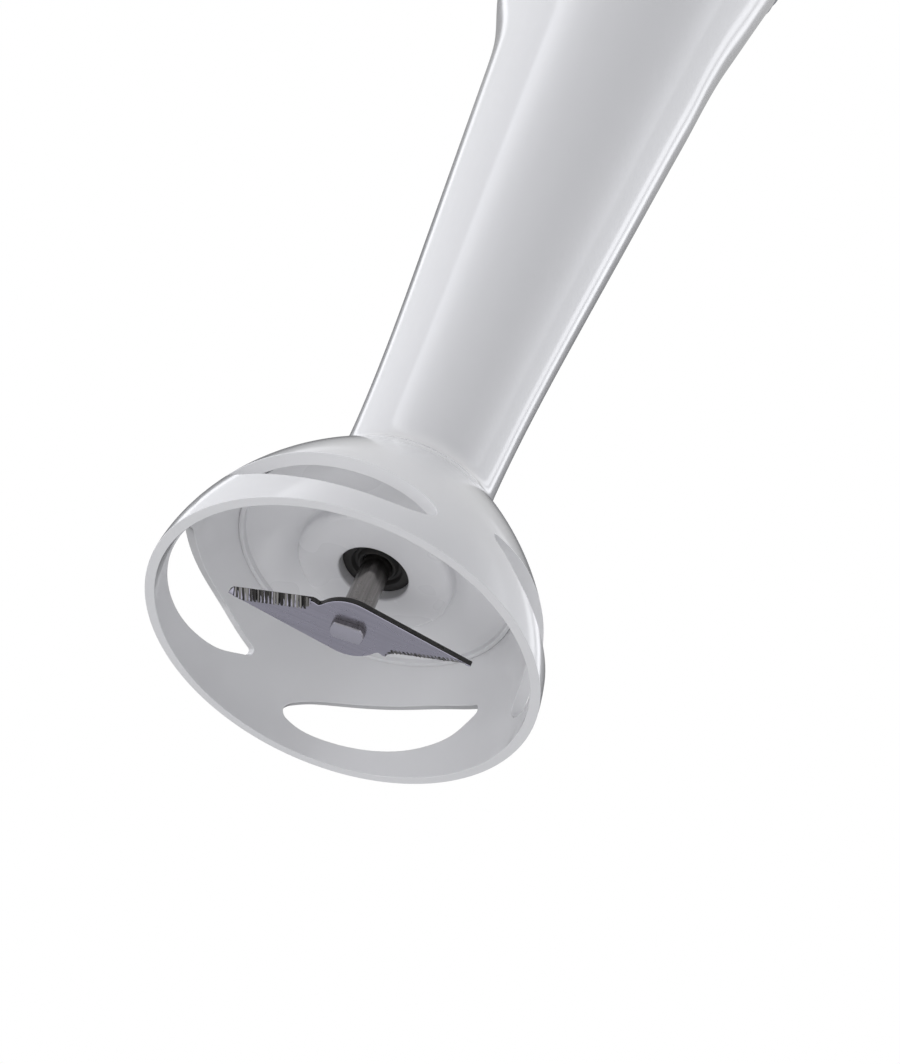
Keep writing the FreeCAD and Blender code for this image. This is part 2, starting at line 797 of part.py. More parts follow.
lock_body = turned("LockBody", [
    ("lock_bore + 1.8", "lock_base"), ("lock_band_radius", "lock_base"),
    ("lock_band_radius", "lock_band_top"), ("lock_step_radius", "lock_band_top"),
    ("lock_step_radius", "lock_step_top"), ("lock_sleeve_radius", "lock_step_top"),
    ("lock_sleeve_radius", "lock_top"), ("lock_plate_hole", "lock_top"),
    ("lock_plate_hole", "lock_groove_top"), ("lock_groove_radius", "lock_groove_top"),
    ("lock_groove_radius", "lock_groove_base"), ("lock_bore", "lock_groove_base"),
    ("lock_bore", "lock_base + 1.8")])
entries = [sector("Entry%d" % i, "lock_bore - 1", "lock_groove_radius", "lock_base - 1",
                  "lock_groove_base + 1", 360 / LUG_COUNT * i - value("twist"), "entry_span")
           for i in range(LUG_COUNT)]
node("lock_collar", cut("LockCollar", lock_body, *entries))

# ---------------------------------------------------------------- handle housing

HANDLE_SECTIONS = (("housing_base", "base_radius"), ("belly_height", "belly_radius"),
                   ("shoulder_height", "shoulder_radius"), ("taper_height", "taper_radius"),
                   ("waist_height", "waist_radius"), ("palm_height", "palm_radius"),
                   ("button_height", "button_level_radius"), ("grip_height", "grip_radius"),
                   ("housing_top", "grip_radius"))


def handle_form(name, inset):
    """The handle's solid form, drawn in by an inset: a loft through level circles."""
    sections = []
    for i, (level, radius) in enumerate(HANDLE_SECTIONS):
        circle = doc.addObject("Part::Circle", "%sSection%d" % (name, i))
        bind(circle, "Radius", "%s - (%s)" % (radius, inset))
        sections.append(placed(circle, 0, 0, level))
    loft = doc.addObject("Part::Loft", name)
    loft.Sections = sections
    loft.Solid = True
    return loft


def handle_ring(name, outer_inset, inner_inset):
    return combined("Cut", name, [handle_form(name + "Outer", outer_inset),
                                  handle_form(name + "Inner", inner_inset)])


def front_prism(name, half_width, low, high):
    """A stadium-ended prism through the front of the handle."""
    middle = block(name + "Middle", ("-(%s)" % half_width, "-40", low), (half_width, "-8", high))
    ends = [cylinder(name + "End%d" % i, half_width, (0, "-40", level), "32", along="Y")
            for i, level in enumerate((low, high))]
    return fused(name, middle, *ends)


housing_ring = handle_ring("HousingRing", "0", "housing_wall")
reach = "belly_radius + 5"
front_half = block("FrontHalf", ("-(%s)" % reach, "-(%s)" % reach, "housing_base - 1"),
                   (reach, "-half_gap", "housing_top + 1"))
rear_half = block("RearHalf", ("-(%s)" % reach, "half_gap", "housing_base - 1"),
                  (reach, reach, "housing_top + 1"))
boss_spots = [(side, level) for side in (-1, 1) for level in ("boss_screw_low", "boss_screw_high")]


def bosses(name, start, length, radius):
    return [cylinder("%s%d" % (name, i), radius, ("%d * boss_screw_x" % side, start, level), length,
                     along="Y") for i, (side, level) in enumerate(boss_spots)]


inside = handle_ring("InsideGrip", "0.6", "26")
front_bosses = common("FrontBossesTrimmed", fused("FrontBosses", *bosses(
    "FrontBoss", "-24", "24 - half_gap", "boss_screw_radius")), inside)
rear_bosses = common("RearBossesTrimmed", fused("RearBosses", *bosses(
    "RearBoss", "half_gap", "24", "boss_screw_radius")), inside)
front_body = fused("FrontBody", common("FrontShellHalf", housing_ring, front_half), front_bosses)
bezel_window = front_prism("BezelWindow", "bezel_half_width + 0.1", "high_button_height",
                           "low_button_height")
node("front_housing", cut("FrontHousing", front_body, bezel_window,
                          *bosses("FrontPilot", "-14", "16", "screw_radius")))

rear_body = fused("RearBody", common("RearShellHalf", housing_ring, rear_half), rear_bosses)
vents = [block("Vent%d" % i, ("(%d) * vent_pitch / 2 - vent_width / 2" % (2 * i - 4), "10", "vent_base"),
               ("(%d) * vent_pitch / 2 + vent_width / 2" % (2 * i - 4), reach, "vent_base + vent_height"))
         for i in range(int(dims["vent_count"]))]
node("rear_housing", cut("RearHousing", rear_body, *vents,
                         *bosses("RearShankHole", "-1", "12", "screw_radius + 0.1"),
                         *bosses("RearHeadHole", "6", "30", "screw_head_radius + 0.2")))
housing_screws = []
for i, (shank, head) in enumerate(zip(bosses("HousingShank", "-13", "19", "screw_radius"),
                                      bosses("HousingHead", "6", "screw_head_thick", "screw_head_radius"))):
    housing_screws.append(fused("HousingScrew%d" % i, shank, head))
node("housing_screws", fused("HousingScrews", *housing_screws))

# ---------------------------------------------------------------- top cap and cord inlet

cap_shell = turned("CapShell", [
    ("grip_radius", "cap_base"),
    ("grip_radius", "cap_base + 1.5", "cap_side_arc"),
    ("cap_corner_radius", "cap_corner_height", "cap_crown_arc"),
    ("cap_flat_radius", "cap_top"),
    ("inlet_radius", "cap_top"),
    ("inlet_radius", "cap_top - cap_wall"),
    ("cap_flat_radius - 0.6", "cap_top - cap_wall", "-(cap_crown_arc - cap_wall)"),
    ("cap_corner_radius - cap_wall", "cap_corner_height - 1.2", "-(cap_side_arc - cap_wall)"),
    ("cap_spigot_radius - 1.8", "cap_base + 1.5"),
    ("cap_spigot_radius - 1.8", "cap_spigot_base"),
    ("cap_spigot_radius", "cap_spigot_base"),
    ("cap_spigot_radius", "cap_base")])
cap_vents = []
for i in range(int(dims["cap_vent_count"])):
    vent = block("CapVent%d" % i, ("13", "-0.8", "cap_corner_height - 1"), ("18.5", "0.8", "cap_top + 2"))
    cap_vents.append(turned_to(vent, 360 / dims["cap_vent_count"] * (i + 0.5)))
clamp_top = "clamp_base + clamp_thick"
cap_posts = [cylinder("CapPost%d" % i, "clamp_post_radius", ("%d * clamp_post_x" % side, 0, clamp_top),
                      "cap_top - 1 - clamp_base - clamp_thick") for i, side in enumerate((-1, 1))]
post_holes = [cylinder("CapPostHole%d" % i, "clamp_screw_radius",
                       ("%d * clamp_post_x" % side, 0, clamp_top), "8") for i, side in enumerate((-1, 1))]
inlet_clearance = cylinder("InletClearance", "inlet_radius", (0, 0, "clamp_base"),
                           "cap_top - clamp_base + 1")
node("top_cap", cut("TopCap", fused("CapBody", cap_shell, *cap_posts), inlet_clearance, *cap_vents,
                    *post_holes))
node("cord_inlet", turned("CordInlet", [
    ("inlet_bore", "inlet_base"), ("inlet_radius - 0.05", "inlet_base"),
    ("inlet_radius - 0.05", "cap_top"), ("inlet_flange_radius", "cap_top"),
    ("inlet_flange_radius", "cap_top + 0.6", "inlet_flange_thick - 0.6"),
    ("inlet_flange_radius - inlet_flange_thick + 0.6", "cap_top + inlet_flange_thick"),
    ("inlet_bore", "cap_top + inlet_flange_thick")]))
clamp_bar = block("ClampBar", ("-clamp_length / 2", "-clamp_width / 2", "clamp_base"),
                  ("clamp_length / 2", "clamp_width / 2", clamp_top + " - 0.05"))
clamp_groove = cylinder("ClampGroove", "inlet_bore", (0, "-clamp_width", clamp_top + " + 1.6"),
                        "2 * clamp_width", along="Y")
clamp_holes = [cylinder("ClampHole%d" % i, "clamp_screw_radius",
                        ("%d * clamp_post_x" % side, 0, "clamp_base - 1"), "clamp_thick + 2")
               for i, side in enumerate((-1, 1))]
node("cord_clamp", cut("CordClamp", clamp_bar, clamp_groove, *clamp_holes))
clamp_screws = []
for i, side in enumerate((-1, 1)):
    across = "%d * clamp_post_x" % side
    clamp_screws.append(fused(
        "ClampScrew%d" % i,
        cylinder("ClampShank%d" % i, "clamp_screw_radius", (across, 0, "clamp_base"), "clamp_thick + 6"),
        cylinder("ClampHead%d" % i, "clamp_post_radius", (across, 0, "clamp_base - 1.4"), "1.4")))
node("clamp_screws", fused("ClampScrews", *clamp_screws))

# ---------------------------------------------------------------- buttons, springs, switches, board

bezel_plate = common("BezelPlate", handle_ring("BezelRing", "-bezel_proud", "housing_wall - 0.2"),
                     front_prism("BezelForm", "bezel_half_width", "high_button_height",
                                 "low_button_height"))
button_names = (("low_button", "LowButton", "low_button_height"),
                ("high_button", "HighButton", "high_button_height"))
button_holes = [cylinder(name + "Hole", "button_radius + button_gap", (0, "-40", level), "32", along="Y")
                for _, name, level in button_names]
node("button_bezel", cut("ButtonBezel", bezel_plate, *button_holes))
for label, name, level in button_names:
    cap = common(name + "Cap", handle_ring(name + "Skin", "-button_proud", "5"),
                 cylinder(name + "Round", "button_radius", (0, "-40", level), "32", along="Y"))
    core = cylinder(name + "Core", "button_radius - 1", (0, "-(grip_radius - 1)", level),
                    "grip_radius - 1 - flange_inner", along="Y")
    flange = cylinder(name + "Flange", "flange_radius", (0, "-flange_outer", level),
                      "flange_outer - flange_inner", along="Y")
    stem = cylinder(name + "Stem", "stem_radius", (0, "-flange_outer", level), "flange_outer - stem_end",
                    along="Y")
    node(label, fused(name, cap, core, flange, stem))
    spring = coil(dims["spring_radius"], dims["spring_wire"], dims["spring_pitch"],
                  dims["flange_inner"] - dims["board_face"] - 2 * (dims["spring_wire"] + 0.1))
    spring.Placement = Placement(Vector(0, -dims["board_face"] - dims["spring_wire"] - 0.1, value(level)),
                                 Rotation(Vector(1, 0, 0), 90))
    node(label.replace("button", "spring"), shaped(name + "Spring", spring))
    half = "switch_size / 2"
    switch_box = block(name + "SwitchBox", ("-" + half, "-switch_face", level + " - " + half),
                       (half, "-board_face", level + " + " + half))
    plunger = cylinder(name + "Plunger", "plunger_radius", (0, "-plunger_face", level),
                       "plunger_face - board_face - 1", along="Y")
    node(label.replace("button", "switch"), fused(name + "Switch", switch_box, plunger))
node("circuit_board", block("CircuitBoard", ("-board_half_width", "-board_face + 0.02", "board_base"),
                            ("board_half_width", "-board_back", "board_top")))
node("capacitor", block("Capacitor", ("-capacitor_width / 2", "-board_back + 0.02", "capacitor_base"),
                        ("capacitor_width / 2", "-board_back + capacitor_depth",
                         "capacitor_base + capacitor_height")))

# ---------------------------------------------------------------- motor

node("motor_shaft", cylinder("MotorShaft", "motor_shaft_radius", (0, 0, "motor_shaft_base"),
                             "motor_shaft_top - motor_shaft_base"))
fan_disc = ring("FanDisc", "motor_shaft_radius", "fan_radius", "fan_base", "fan_base + fan_plate")
fan_hub = ring("FanHub", "motor_shaft_radius", "fan_hub_radius", "fan_base", "fan_top")
fan_parts = [fan_disc, fan_hub]
for i in range(int(dims["fan_blades"])):
    vane = block("Vane%d" % i, ("fan_hub_radius - 1", "-fan_blade_thick / 2", "fan_base"),
                 ("fan_radius - 0.5", "fan_blade_thick / 2", "fan_top"))
    fan_parts.append(turned_to(vane, 360 / dims["fan_blades"] * i))
node("cooling_fan", fused("CoolingFan", *fan_parts))

core = ring("ArmatureStack", "motor_shaft_radius", "armature_radius", "stack_base", "stack_top")
slots = []
for i in range(int(dims["armature_slots"])):
    opening = block("CoreSlot%d" % i, ("7.5", "-0.9", "stack_base - 1"),
                    ("armature_radius + 1", "0.9", "stack_top + 1"))
    slots.append(turned_to(opening, 360 / dims["armature_slots"] * i))
node("armature_core", cut("ArmatureCore", core, *slots))
windings = [ring("LowerWinding", "winding_inner", "winding_radius", "lower_winding_base", "stack_base"),
            ring("UpperWinding", "winding_inner", "winding_radius", "stack_top", "upper_winding_top")]
node("armature_windings", fused("ArmatureWindings", *windings))
copper = ring("CommutatorRing", "motor_shaft_radius", "commutator_radius", "commutator_base",
              "commutator_top")
grooves = []
for i in range(int(dims["armature_slots"])):
    groove = block("BarGap%d" % i, ("commutator_radius - 0.8", "-0.25", "commutator_base + 1"),
                   ("commutator_radius + 1", "0.25", "commutator_top + 1"))
    grooves.append(turned_to(groove, 360 / dims["armature_slots"] * i))
node("commutator", cut("Commutator", copper, *grooves))

stack = ring("StatorStack", "stator_bore", "motor_radius", "stack_base", "stack_top")
windows = [sector("CoilWindow%d" % i, "coil_inner", "coil_outer + 0.1", "stack_base - 1", "stack_top + 1",
                  180 * i, "180 - 2 * pole_half_angle") for i in range(2)]
node("stator_core", cut("StatorCore", stack, *windows))
coils = []
for i in range(2):
    middle = 90 + 180 * i
    whole = sector("CoilWhole%d" % i, "coil_inner + 0.1", "coil_outer", "stack_base - coil_overhang",
                   "stack_top + coil_overhang", middle, "2 * coil_half_angle")
    pole = sector("PoleSpace%d" % i, "coil_inner - 1", "coil_outer + 1", "stack_base - 0.1",
                  "stack_top + 0.1", middle, "2 * pole_half_angle + 1")
    coils.append(cut("FieldCoil%d" % i, whole, pole))
node("field_coils", fused("FieldCoils", *coils))

lower_bearing_top = "lower_bracket_base + bearing_length"
lower_cup = turned("LowerCup", [
    ("bearing_radius", "lower_bracket_base"), ("motor_radius", "lower_bracket_base"),
    ("motor_radius", "stack_base"), ("motor_radius - bracket_wall", "stack_base"),
    ("motor_radius - bracket_wall", "lower_bracket_base + bracket_wall"),
    ("bearing_hub", "lower_bracket_base + bracket_wall"), ("bearing_hub", lower_bearing_top),
    ("bearing_radius", lower_bearing_top)])
lower_windows = []
for i in range(4):
    turn = math.radians(45 + 90 * i)
    lower_windows.append(cylinder("LowerWindow%d" % i, "bracket_window_radius",
                                  ("bracket_window_ring * %.6f" % math.cos(turn),
                                   "bracket_window_ring * %.6f" % math.sin(turn),
                                   "lower_bracket_base - 1"), "bracket_wall + 2"))
node("lower_bracket", cut("LowerBracket", lower_cup, *lower_windows))
upper_bearing_base = "upper_bracket_top - bearing_length"
upper_cup = turned("UpperCup", [
    ("motor_radius - 1 - bracket_wall", "stack_top"), ("motor_radius - 1", "stack_top"),
    ("motor_radius - 1", "upper_bracket_top"), ("bearing_radius", "upper_bracket_top"),
    ("bearing_radius", upper_bearing_base), ("bearing_hub", upper_bearing_base),
    ("bearing_hub", "upper_bracket_top - bracket_wall"),
    ("motor_radius - 1 - bracket_wall", "upper_bracket_top - bracket_wall")])
holder_half = "brush_size / 2 + holder_wall"
brush_windows = block("BrushWindows", ("-40", "-(%s)" % holder_half, "brush_height - (%s)" % holder_half),
                      ("40", holder_half, "brush_height + " + holder_half))
node("upper_bracket", cut("UpperBracket", upper_cup, brush_windows))
brushes = []
holders = []
springs = []
for i, side in enumerate((-1, 1)):
    start = "commutator_radius + brush_gap"
    end = start + " + brush_length"
    low_x, high_x = (start, end) if side > 0 else ("-(%s)" % end, "-(%s)" % start)
    brushes.append(block("Brush%d" % i, (low_x, "-brush_size / 2", "brush_height - brush_size / 2"),
                         (high_x, "brush_size / 2", "brush_height + brush_size / 2")))
    low_x, high_x = "holder_inner_end", "holder_outer_end"
    if side < 0:
        low_x, high_x = "-holder_outer_end", "-holder_inner_end"
    sleeve = block("Holder%d" % i, (low_x, "-(%s)" % holder_half, "brush_height - (%s)" % holder_half),
                   (high_x, holder_half, "brush_height + " + holder_half))
    opening = block("HolderBore%d" % i, ("%s - 1" % low_x if side > 0 else "%s + holder_wall" % low_x,
                                         "-brush_size / 2", "brush_height - brush_size / 2"),
                    ("%s - holder_wall" % high_x if side > 0 else "%s + 1" % high_x,
                     "brush_size / 2", "brush_height + brush_size / 2"))
    holders.append(cut("BrushHolder%d" % i, sleeve, opening))
    inner = value(start) + dims["brush_length"]
    length = dims["holder_outer_end"] - dims["holder_wall"] - inner - 0.8
    spring = coil(dims["brush_spring_radius"], dims["brush_spring_wire"], dims["brush_spring_pitch"], length)
    spring.Placement = Placement(Vector(side * (inner + 0.4), 0, dims["brush_height"]),
                                 Rotation(Vector(0, 1, 0), 90 * side))
    springs.append(shaped("BrushSpring%d" % i, spring))
node("carbon_brushes", fused("CarbonBrushes", *brushes))
node("brush_holders", fused("BrushHolders", *holders))
node("brush_springs", fused("BrushSprings", *springs))
bearing_bore = "motor_shaft_radius + running_gap"
node("lower_bearing", ring("LowerBearing", bearing_bore, "bearing_radius", "lower_bracket_base",
                           lower_bearing_top))
node("upper_bearing", ring("UpperBearing", bearing_bore, "bearing_radius", upper_bearing_base,
                           "upper_bracket_top"))
node("lower_motor_mount", ring("LowerMotorMount", "motor_radius", "lower_mount_radius",
                               "lower_bracket_base + 1", "lower_bracket_base + 1 + mount_length"))
node("upper_motor_mount", ring("UpperMotorMount", "motor_radius - 1", "upper_mount_radius",
                               "upper_bracket_top - mount_length - 1", "upper_bracket_top - 1"))

# ---------------------------------------------------------------- check and export

doc.recompute()
faults = [item.Name for item in doc.Objects if {"Invalid", "Error"} & set(item.State)]
for label, item in nodes.items():
    if item.Shape.isNull() or not item.Shape.isValid() or not item.Shape.Solids:
        faults.append(label)
if faults:
    raise SystemExit("failed objects: " + ", ".join(faults))
for label, item in nodes.items():
    item.Shape.exportStep("parts/%s.step" % label)
    box = item.Shape.optimalBoundingBox()
    print("%-20s solids %d  volume %9.1f  z %.1f..%.1f" % (
        label, len(item.Shape.Solids), item.Shape.Volume, box.ZMin, box.ZMax))
print(len(nodes), "nodes")
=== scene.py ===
"""The look of the immersion blender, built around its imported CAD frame."""
import bmesh
import bpy
import json
import math
import numpy as np
from mathutils import Matrix, Vector


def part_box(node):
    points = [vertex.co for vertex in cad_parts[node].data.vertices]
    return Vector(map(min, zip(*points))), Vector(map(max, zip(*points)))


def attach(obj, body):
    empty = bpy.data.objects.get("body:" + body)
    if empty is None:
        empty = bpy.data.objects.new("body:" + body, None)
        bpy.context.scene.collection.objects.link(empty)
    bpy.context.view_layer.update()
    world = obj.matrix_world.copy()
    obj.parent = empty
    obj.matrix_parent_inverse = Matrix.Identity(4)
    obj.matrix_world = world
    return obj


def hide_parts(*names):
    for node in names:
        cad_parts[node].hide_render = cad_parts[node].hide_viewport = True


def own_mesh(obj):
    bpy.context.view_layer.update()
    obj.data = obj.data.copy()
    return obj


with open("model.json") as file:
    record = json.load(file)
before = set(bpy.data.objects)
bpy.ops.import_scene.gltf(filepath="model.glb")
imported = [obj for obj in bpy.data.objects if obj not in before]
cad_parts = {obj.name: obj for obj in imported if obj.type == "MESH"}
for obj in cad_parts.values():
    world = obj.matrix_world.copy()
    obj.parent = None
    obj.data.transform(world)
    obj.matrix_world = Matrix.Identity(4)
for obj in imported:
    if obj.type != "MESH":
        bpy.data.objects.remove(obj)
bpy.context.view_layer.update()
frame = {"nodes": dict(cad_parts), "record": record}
NODES = frame["nodes"]
MM = 0.001
QUARTER = math.pi / 2
MERGE = 0.002
EDGE_SEGMENTS = 3
EDGE_ANGLE = 35.0


# ---------------------------------------------------------------- small geometry helpers

def cubic(stations, start_slope=None, end_slope=None):
    """A function for the smooth curve through (x, y) stations; ends are free unless a slope is given."""
    x = np.array([s[0] for s in stations], float)
    y = np.array([s[1] for s in stations], float)
    n = len(x)
    step = np.diff(x)
    grade = np.diff(y) / step
    matrix = np.zeros((n, n))
    right = np.zeros(n)
    for i in range(1, n - 1):
        matrix[i, i - 1], matrix[i, i], matrix[i, i + 1] = step[i - 1], 2 * (step[i - 1] + step[i]), step[i]
        right[i] = 6 * (grade[i] - grade[i - 1])
    matrix[0, 0] = matrix[-1, -1] = 1
    if start_slope is not None:
        matrix[0, :2] = 2 * step[0], step[0]
        right[0] = 6 * (grade[0] - start_slope)
    if end_slope is not None:
        matrix[-1, -2:] = step[-1], 2 * step[-1]
        right[-1] = 6 * (end_slope - grade[-1])
    bend = np.linalg.solve(matrix, right)

    def curve(value):
        k = int(np.clip(np.searchsorted(x, value) - 1, 0, n - 2))
        t = value - x[k]
        slope = grade[k] - step[k] * (2 * bend[k] + bend[k + 1]) / 6
        return y[k] + slope * t + bend[k] / 2 * t * t + (bend[k + 1] - bend[k]) / (6 * step[k]) * t ** 3

    return curve


def new_piece(name, mesh_data):
    """An object from (vertices in mm, faces)."""
    vertices, faces = mesh_data
    mesh = bpy.data.meshes.new(name)
    mesh.from_pydata([tuple(c * MM for c in v) for v in vertices], [], faces)
    mesh.validate()
    piece = bpy.data.objects.new(name, mesh)
    bpy.context.scene.collection.objects.link(piece)
    return piece


def tidy_mesh(piece, sharp_degrees):
    """Merges doubled points, turns the faces outwards and smooths everything but sharp edges."""
    work = bmesh.new()
    work.from_mesh(piece.data)
    bmesh.ops.remove_doubles(work, verts=work.verts, dist=MERGE * MM)
    bmesh.ops.dissolve_degenerate(work, dist=MERGE * MM * 0.5, edges=work.edges)
    bmesh.ops.recalc_face_normals(work, faces=work.faces)
    for face in work.faces:
        face.smooth = True
    work.to_mesh(piece.data)
    work.free()
    piece.data.set_sharp_from_angle(angle=math.radians(sharp_degrees))
    return piece


def round_edges(piece, width):
    """Rounds the sharp edges by a width in mm."""
    bevel = piece.modifiers.new("rounded edges", "BEVEL")
    bevel.width = width * MM
    bevel.segments = EDGE_SEGMENTS
    bevel.limit_method = "ANGLE"
    bevel.angle_limit = math.radians(EDGE_ANGLE)
    bevel.use_clamp_overlap = True
    bevel.harden_normals = True
    bevel.miter_outer = "MITER_ARC"
    return piece


def filleted(corners, steps=6):
    """A (radius, height[, fillet]) outline with its fillets drawn as short arcs."""
    points = []
    count = len(corners)
    for i, corner in enumerate(corners):
        here = Vector(corner[:2])
        radius = corner[2] if len(corner) > 2 else 0
        if not radius:
            points.append(tuple(here))
            continue
        before = (Vector(corners[i - 1][:2]) - here).normalized()
        after = (Vector(corners[(i + 1) % count][:2]) - here).normalized()
        half = before.angle(after) / 2
        reach = radius / math.tan(half)
        centre = here + (before + after).normalized() * (radius / math.sin(half))
        start, end = here + before * reach - centre, here + after * reach - centre
        turn = start.angle_signed(end)
        for k in range(steps + 1):
            angle = -turn * k / steps
            spot = centre + Matrix.Rotation(angle, 2) @ start
            points.append(tuple(spot))
    return points


def around(columns):
    """A ring-shaped solid from columns, which are equal counts of (x, y, z) points round an outline."""
    rows = len(columns[0])
    vertices = [point for column in columns for point in column]
    faces = []
    for c in range(len(columns)):
        a, b = c * rows, (c + 1) % len(columns) * rows
        faces += [(a + r, b + r, b + (r + 1) % rows, a + (r + 1) % rows) for r in range(rows)]
    return vertices, faces


def spun(radius, degrees, height):
    """The point at a radius from Z, a number of degrees round it and a height."""
    angle = math.radians(degrees)
    return radius * math.cos(angle), radius * math.sin(angle), height


def lathe(outline, segments=160):
    """A closed solid turned about Z from a closed (radius, height) outline."""
    return around([[spun(r, 360 * c / segments, z) for r, z in outline] for c in range(segments)])


def stacked(rings):
    """A solid from equal rings of points, closed with a face at each end."""
    count = len(rings[0])
    vertices = [point for ring in rings for point in ring]
    faces = [tuple(reversed(range(count))), tuple(range(len(vertices) - count, len(vertices)))]
    for k in range(len(rings) - 1):
        a, b = k * count, (k + 1) * count
        faces += [(a + i, a + (i + 1) % count, b + (i + 1) % count, b + i) for i in range(count)]
    return vertices, faces


def stretched(outline, step):
    """The closed outline with more points along its long straight stretches."""
    points = []
    for a, b in zip(outline, outline[1:] + outline[:1]):
        count = max(1, math.ceil(math.dist(a, b) / step))
        points += [tuple(Vector(a).lerp(Vector(b), k / count)) for k in range(count)]
    return points


def joined(*meshes):
    """One (vertices, faces) mesh from several."""
    vertices, faces = [], []
    for more_vertices, more_faces in meshes:
        first = len(vertices)
        vertices += more_vertices
        faces += [tuple(first + i for i in face) for face in more_faces]
    return vertices, faces


def moved(mesh_data, change):
    """The mesh with change(point) applied to its points."""
    vertices, faces = mesh_data
    return [tuple(change(Vector(v))) for v in vertices], faces


def even(count):
    """Equal shares of a band, up to its far edge."""
    return [(k + 1) / count for k in range(count)]


def shell(columns, edges_at, spacing, is_open, place, wall, closed=True):
    """A walled shell on a grid. edges_at(degrees) gives a column's rising edge levels, spacing[k] the
    shares of the way from edge k to k + 1 at which rows lie, and is_open(degrees, k) says where band k
    is missing. place(degrees, level, depth) puts a point, and wall(level) is the thickness."""
    vertices = []
    grid = []
    for degrees in columns:
        edges = edges_at(degrees)
        levels = [edges[0]]
        for k, shares in enumerate(spacing):
            levels += [edges[k] + (edges[k + 1] - edges[k]) * share for share in shares]
        grid.append(range(len(vertices), len(vertices) + 2 * len(levels), 2))
        for level in levels:
            vertices += [place(degrees, level, 0.0), place(degrees, level, wall(level))]
    bands = [k for k, shares in enumerate(spacing) for _ in shares]
    count = len(columns)
    last = count if closed else count - 1
    after = columns[1:] + [columns[0] + 360]
    solid = [[not is_open((columns[c] + after[c]) / 2, band) for band in bands] for c in range(last)]
    faces = []
    for c in range(last):
        a, b = grid[c], grid[(c + 1) % count]
        before = solid[c - 1] if closed or c > 0 else None
        beyond = solid[(c + 1) % last] if closed or c < last - 1 else None
        for r, here in enumerate(solid[c]):
            if not here:
                continue
            a0, a1, b0, b1 = a[r], a[r + 1], b[r], b[r + 1]
            faces += [(a0, b0, b1, a1), (a0 + 1, a1 + 1, b1 + 1, b0 + 1)]
            if r == 0 or not solid[c][r - 1]:
                faces.append((a0, a0 + 1, b0 + 1, b0))
            if r == len(bands) - 1 or not solid[c][r + 1]:
                faces.append((a1, b1, b1 + 1, a1 + 1))
            if before is None or not before[r]:
                faces.append((a0, a1, a1 + 1, a0 + 1))
            if beyond is None or not beyond[r]:
                faces.append((b0, b0 + 1, b1 + 1, b1))
    return vertices, faces


def between(values, step):
    """The values, with more put in so that no two are further apart than a step."""
    points = sorted(set(round(v, 5) for v in values))
    result = points[:1]
    for a, b in zip(points, points[1:]):
        if b - a < 0.05:
            continue
        count = max(1, math.ceil((b - a) / step))
        result += [a + (b - a) * (k + 1) / count for k in range(count)]
    return result


# ---------------------------------------------------------------- materials

def new_material(name):
    """(material, its node tree, its Principled shader)"""
    material = bpy.data.materials.new(name)
    material.use_nodes = True
    tree = material.node_tree
    shader = next(n for n in tree.nodes if n.type == "BSDF_PRINCIPLED")
    return material, tree, shader


def add(tree, kind, **settings):
    """A new node, with each setting given to the socket or property of that name."""
    item = tree.nodes.new(kind)
    for key, setting in settings.items():
        if key in item.inputs:
            item.inputs[key].default_value = setting
        else:
            setattr(item, key, setting)
    return item


def noise(tree, scale, detail=3.0, roughness=0.5, stretch=None, turned_by=0.0):
    """Noise in the object's own coordinates, so that it moves with the piece. Stretch multiplies its
    frequency along each axis, and turned_by turns those axes about Z, in degrees."""
    place = add(tree, "ShaderNodeTexCoord")
    texture = add(tree, "ShaderNodeTexNoise", Scale=scale, Detail=detail, Roughness=roughness)
    if stretch is None:
        tree.links.new(place.outputs["Object"], texture.inputs["Vector"])
        return texture.outputs["Fac"]
    mapping = add(tree, "ShaderNodeMapping", vector_type="TEXTURE")
    mapping.inputs["Scale"].default_value = [1 / factor for factor in stretch]
    mapping.inputs["Rotation"].default_value = (0, 0, math.radians(turned_by))
    tree.links.new(place.outputs["Object"], mapping.inputs["Vector"])
    tree.links.new(mapping.outputs["Vector"], texture.inputs["Vector"])
    return texture.outputs["Fac"]


def ramp(tree, source, low, high, start=0.0, end=1.0):
    """Maps a 0..1 source between two grey values or colours."""
    item = add(tree, "ShaderNodeValToRGB")
    tree.links.new(source, item.inputs["Fac"])
    for element, place, tint in zip(item.color_ramp.elements, (start, end), (low, high)):
        element.position = place
        element.color = tint if isinstance(tint, tuple) else (tint, tint, tint, 1)
    return item.outputs["Color"]


def bump(tree, shader, height, distance):
    """Bumps the surface by a distance in mm where height is 1."""
    item = add(tree, "ShaderNodeBump")
    item.inputs["Strength"].default_value = 1.0
    item.inputs["Distance"].default_value = distance * MM
    tree.links.new(height, item.inputs["Height"])
    tree.links.new(item.outputs["Normal"], shader.inputs["Normal"])


def tinted(colour, factor):
    """The colour times a factor, with an alpha of 1."""
    return tuple(c * factor for c in colour) + (1,)


MOULD_WAVE = 0.002


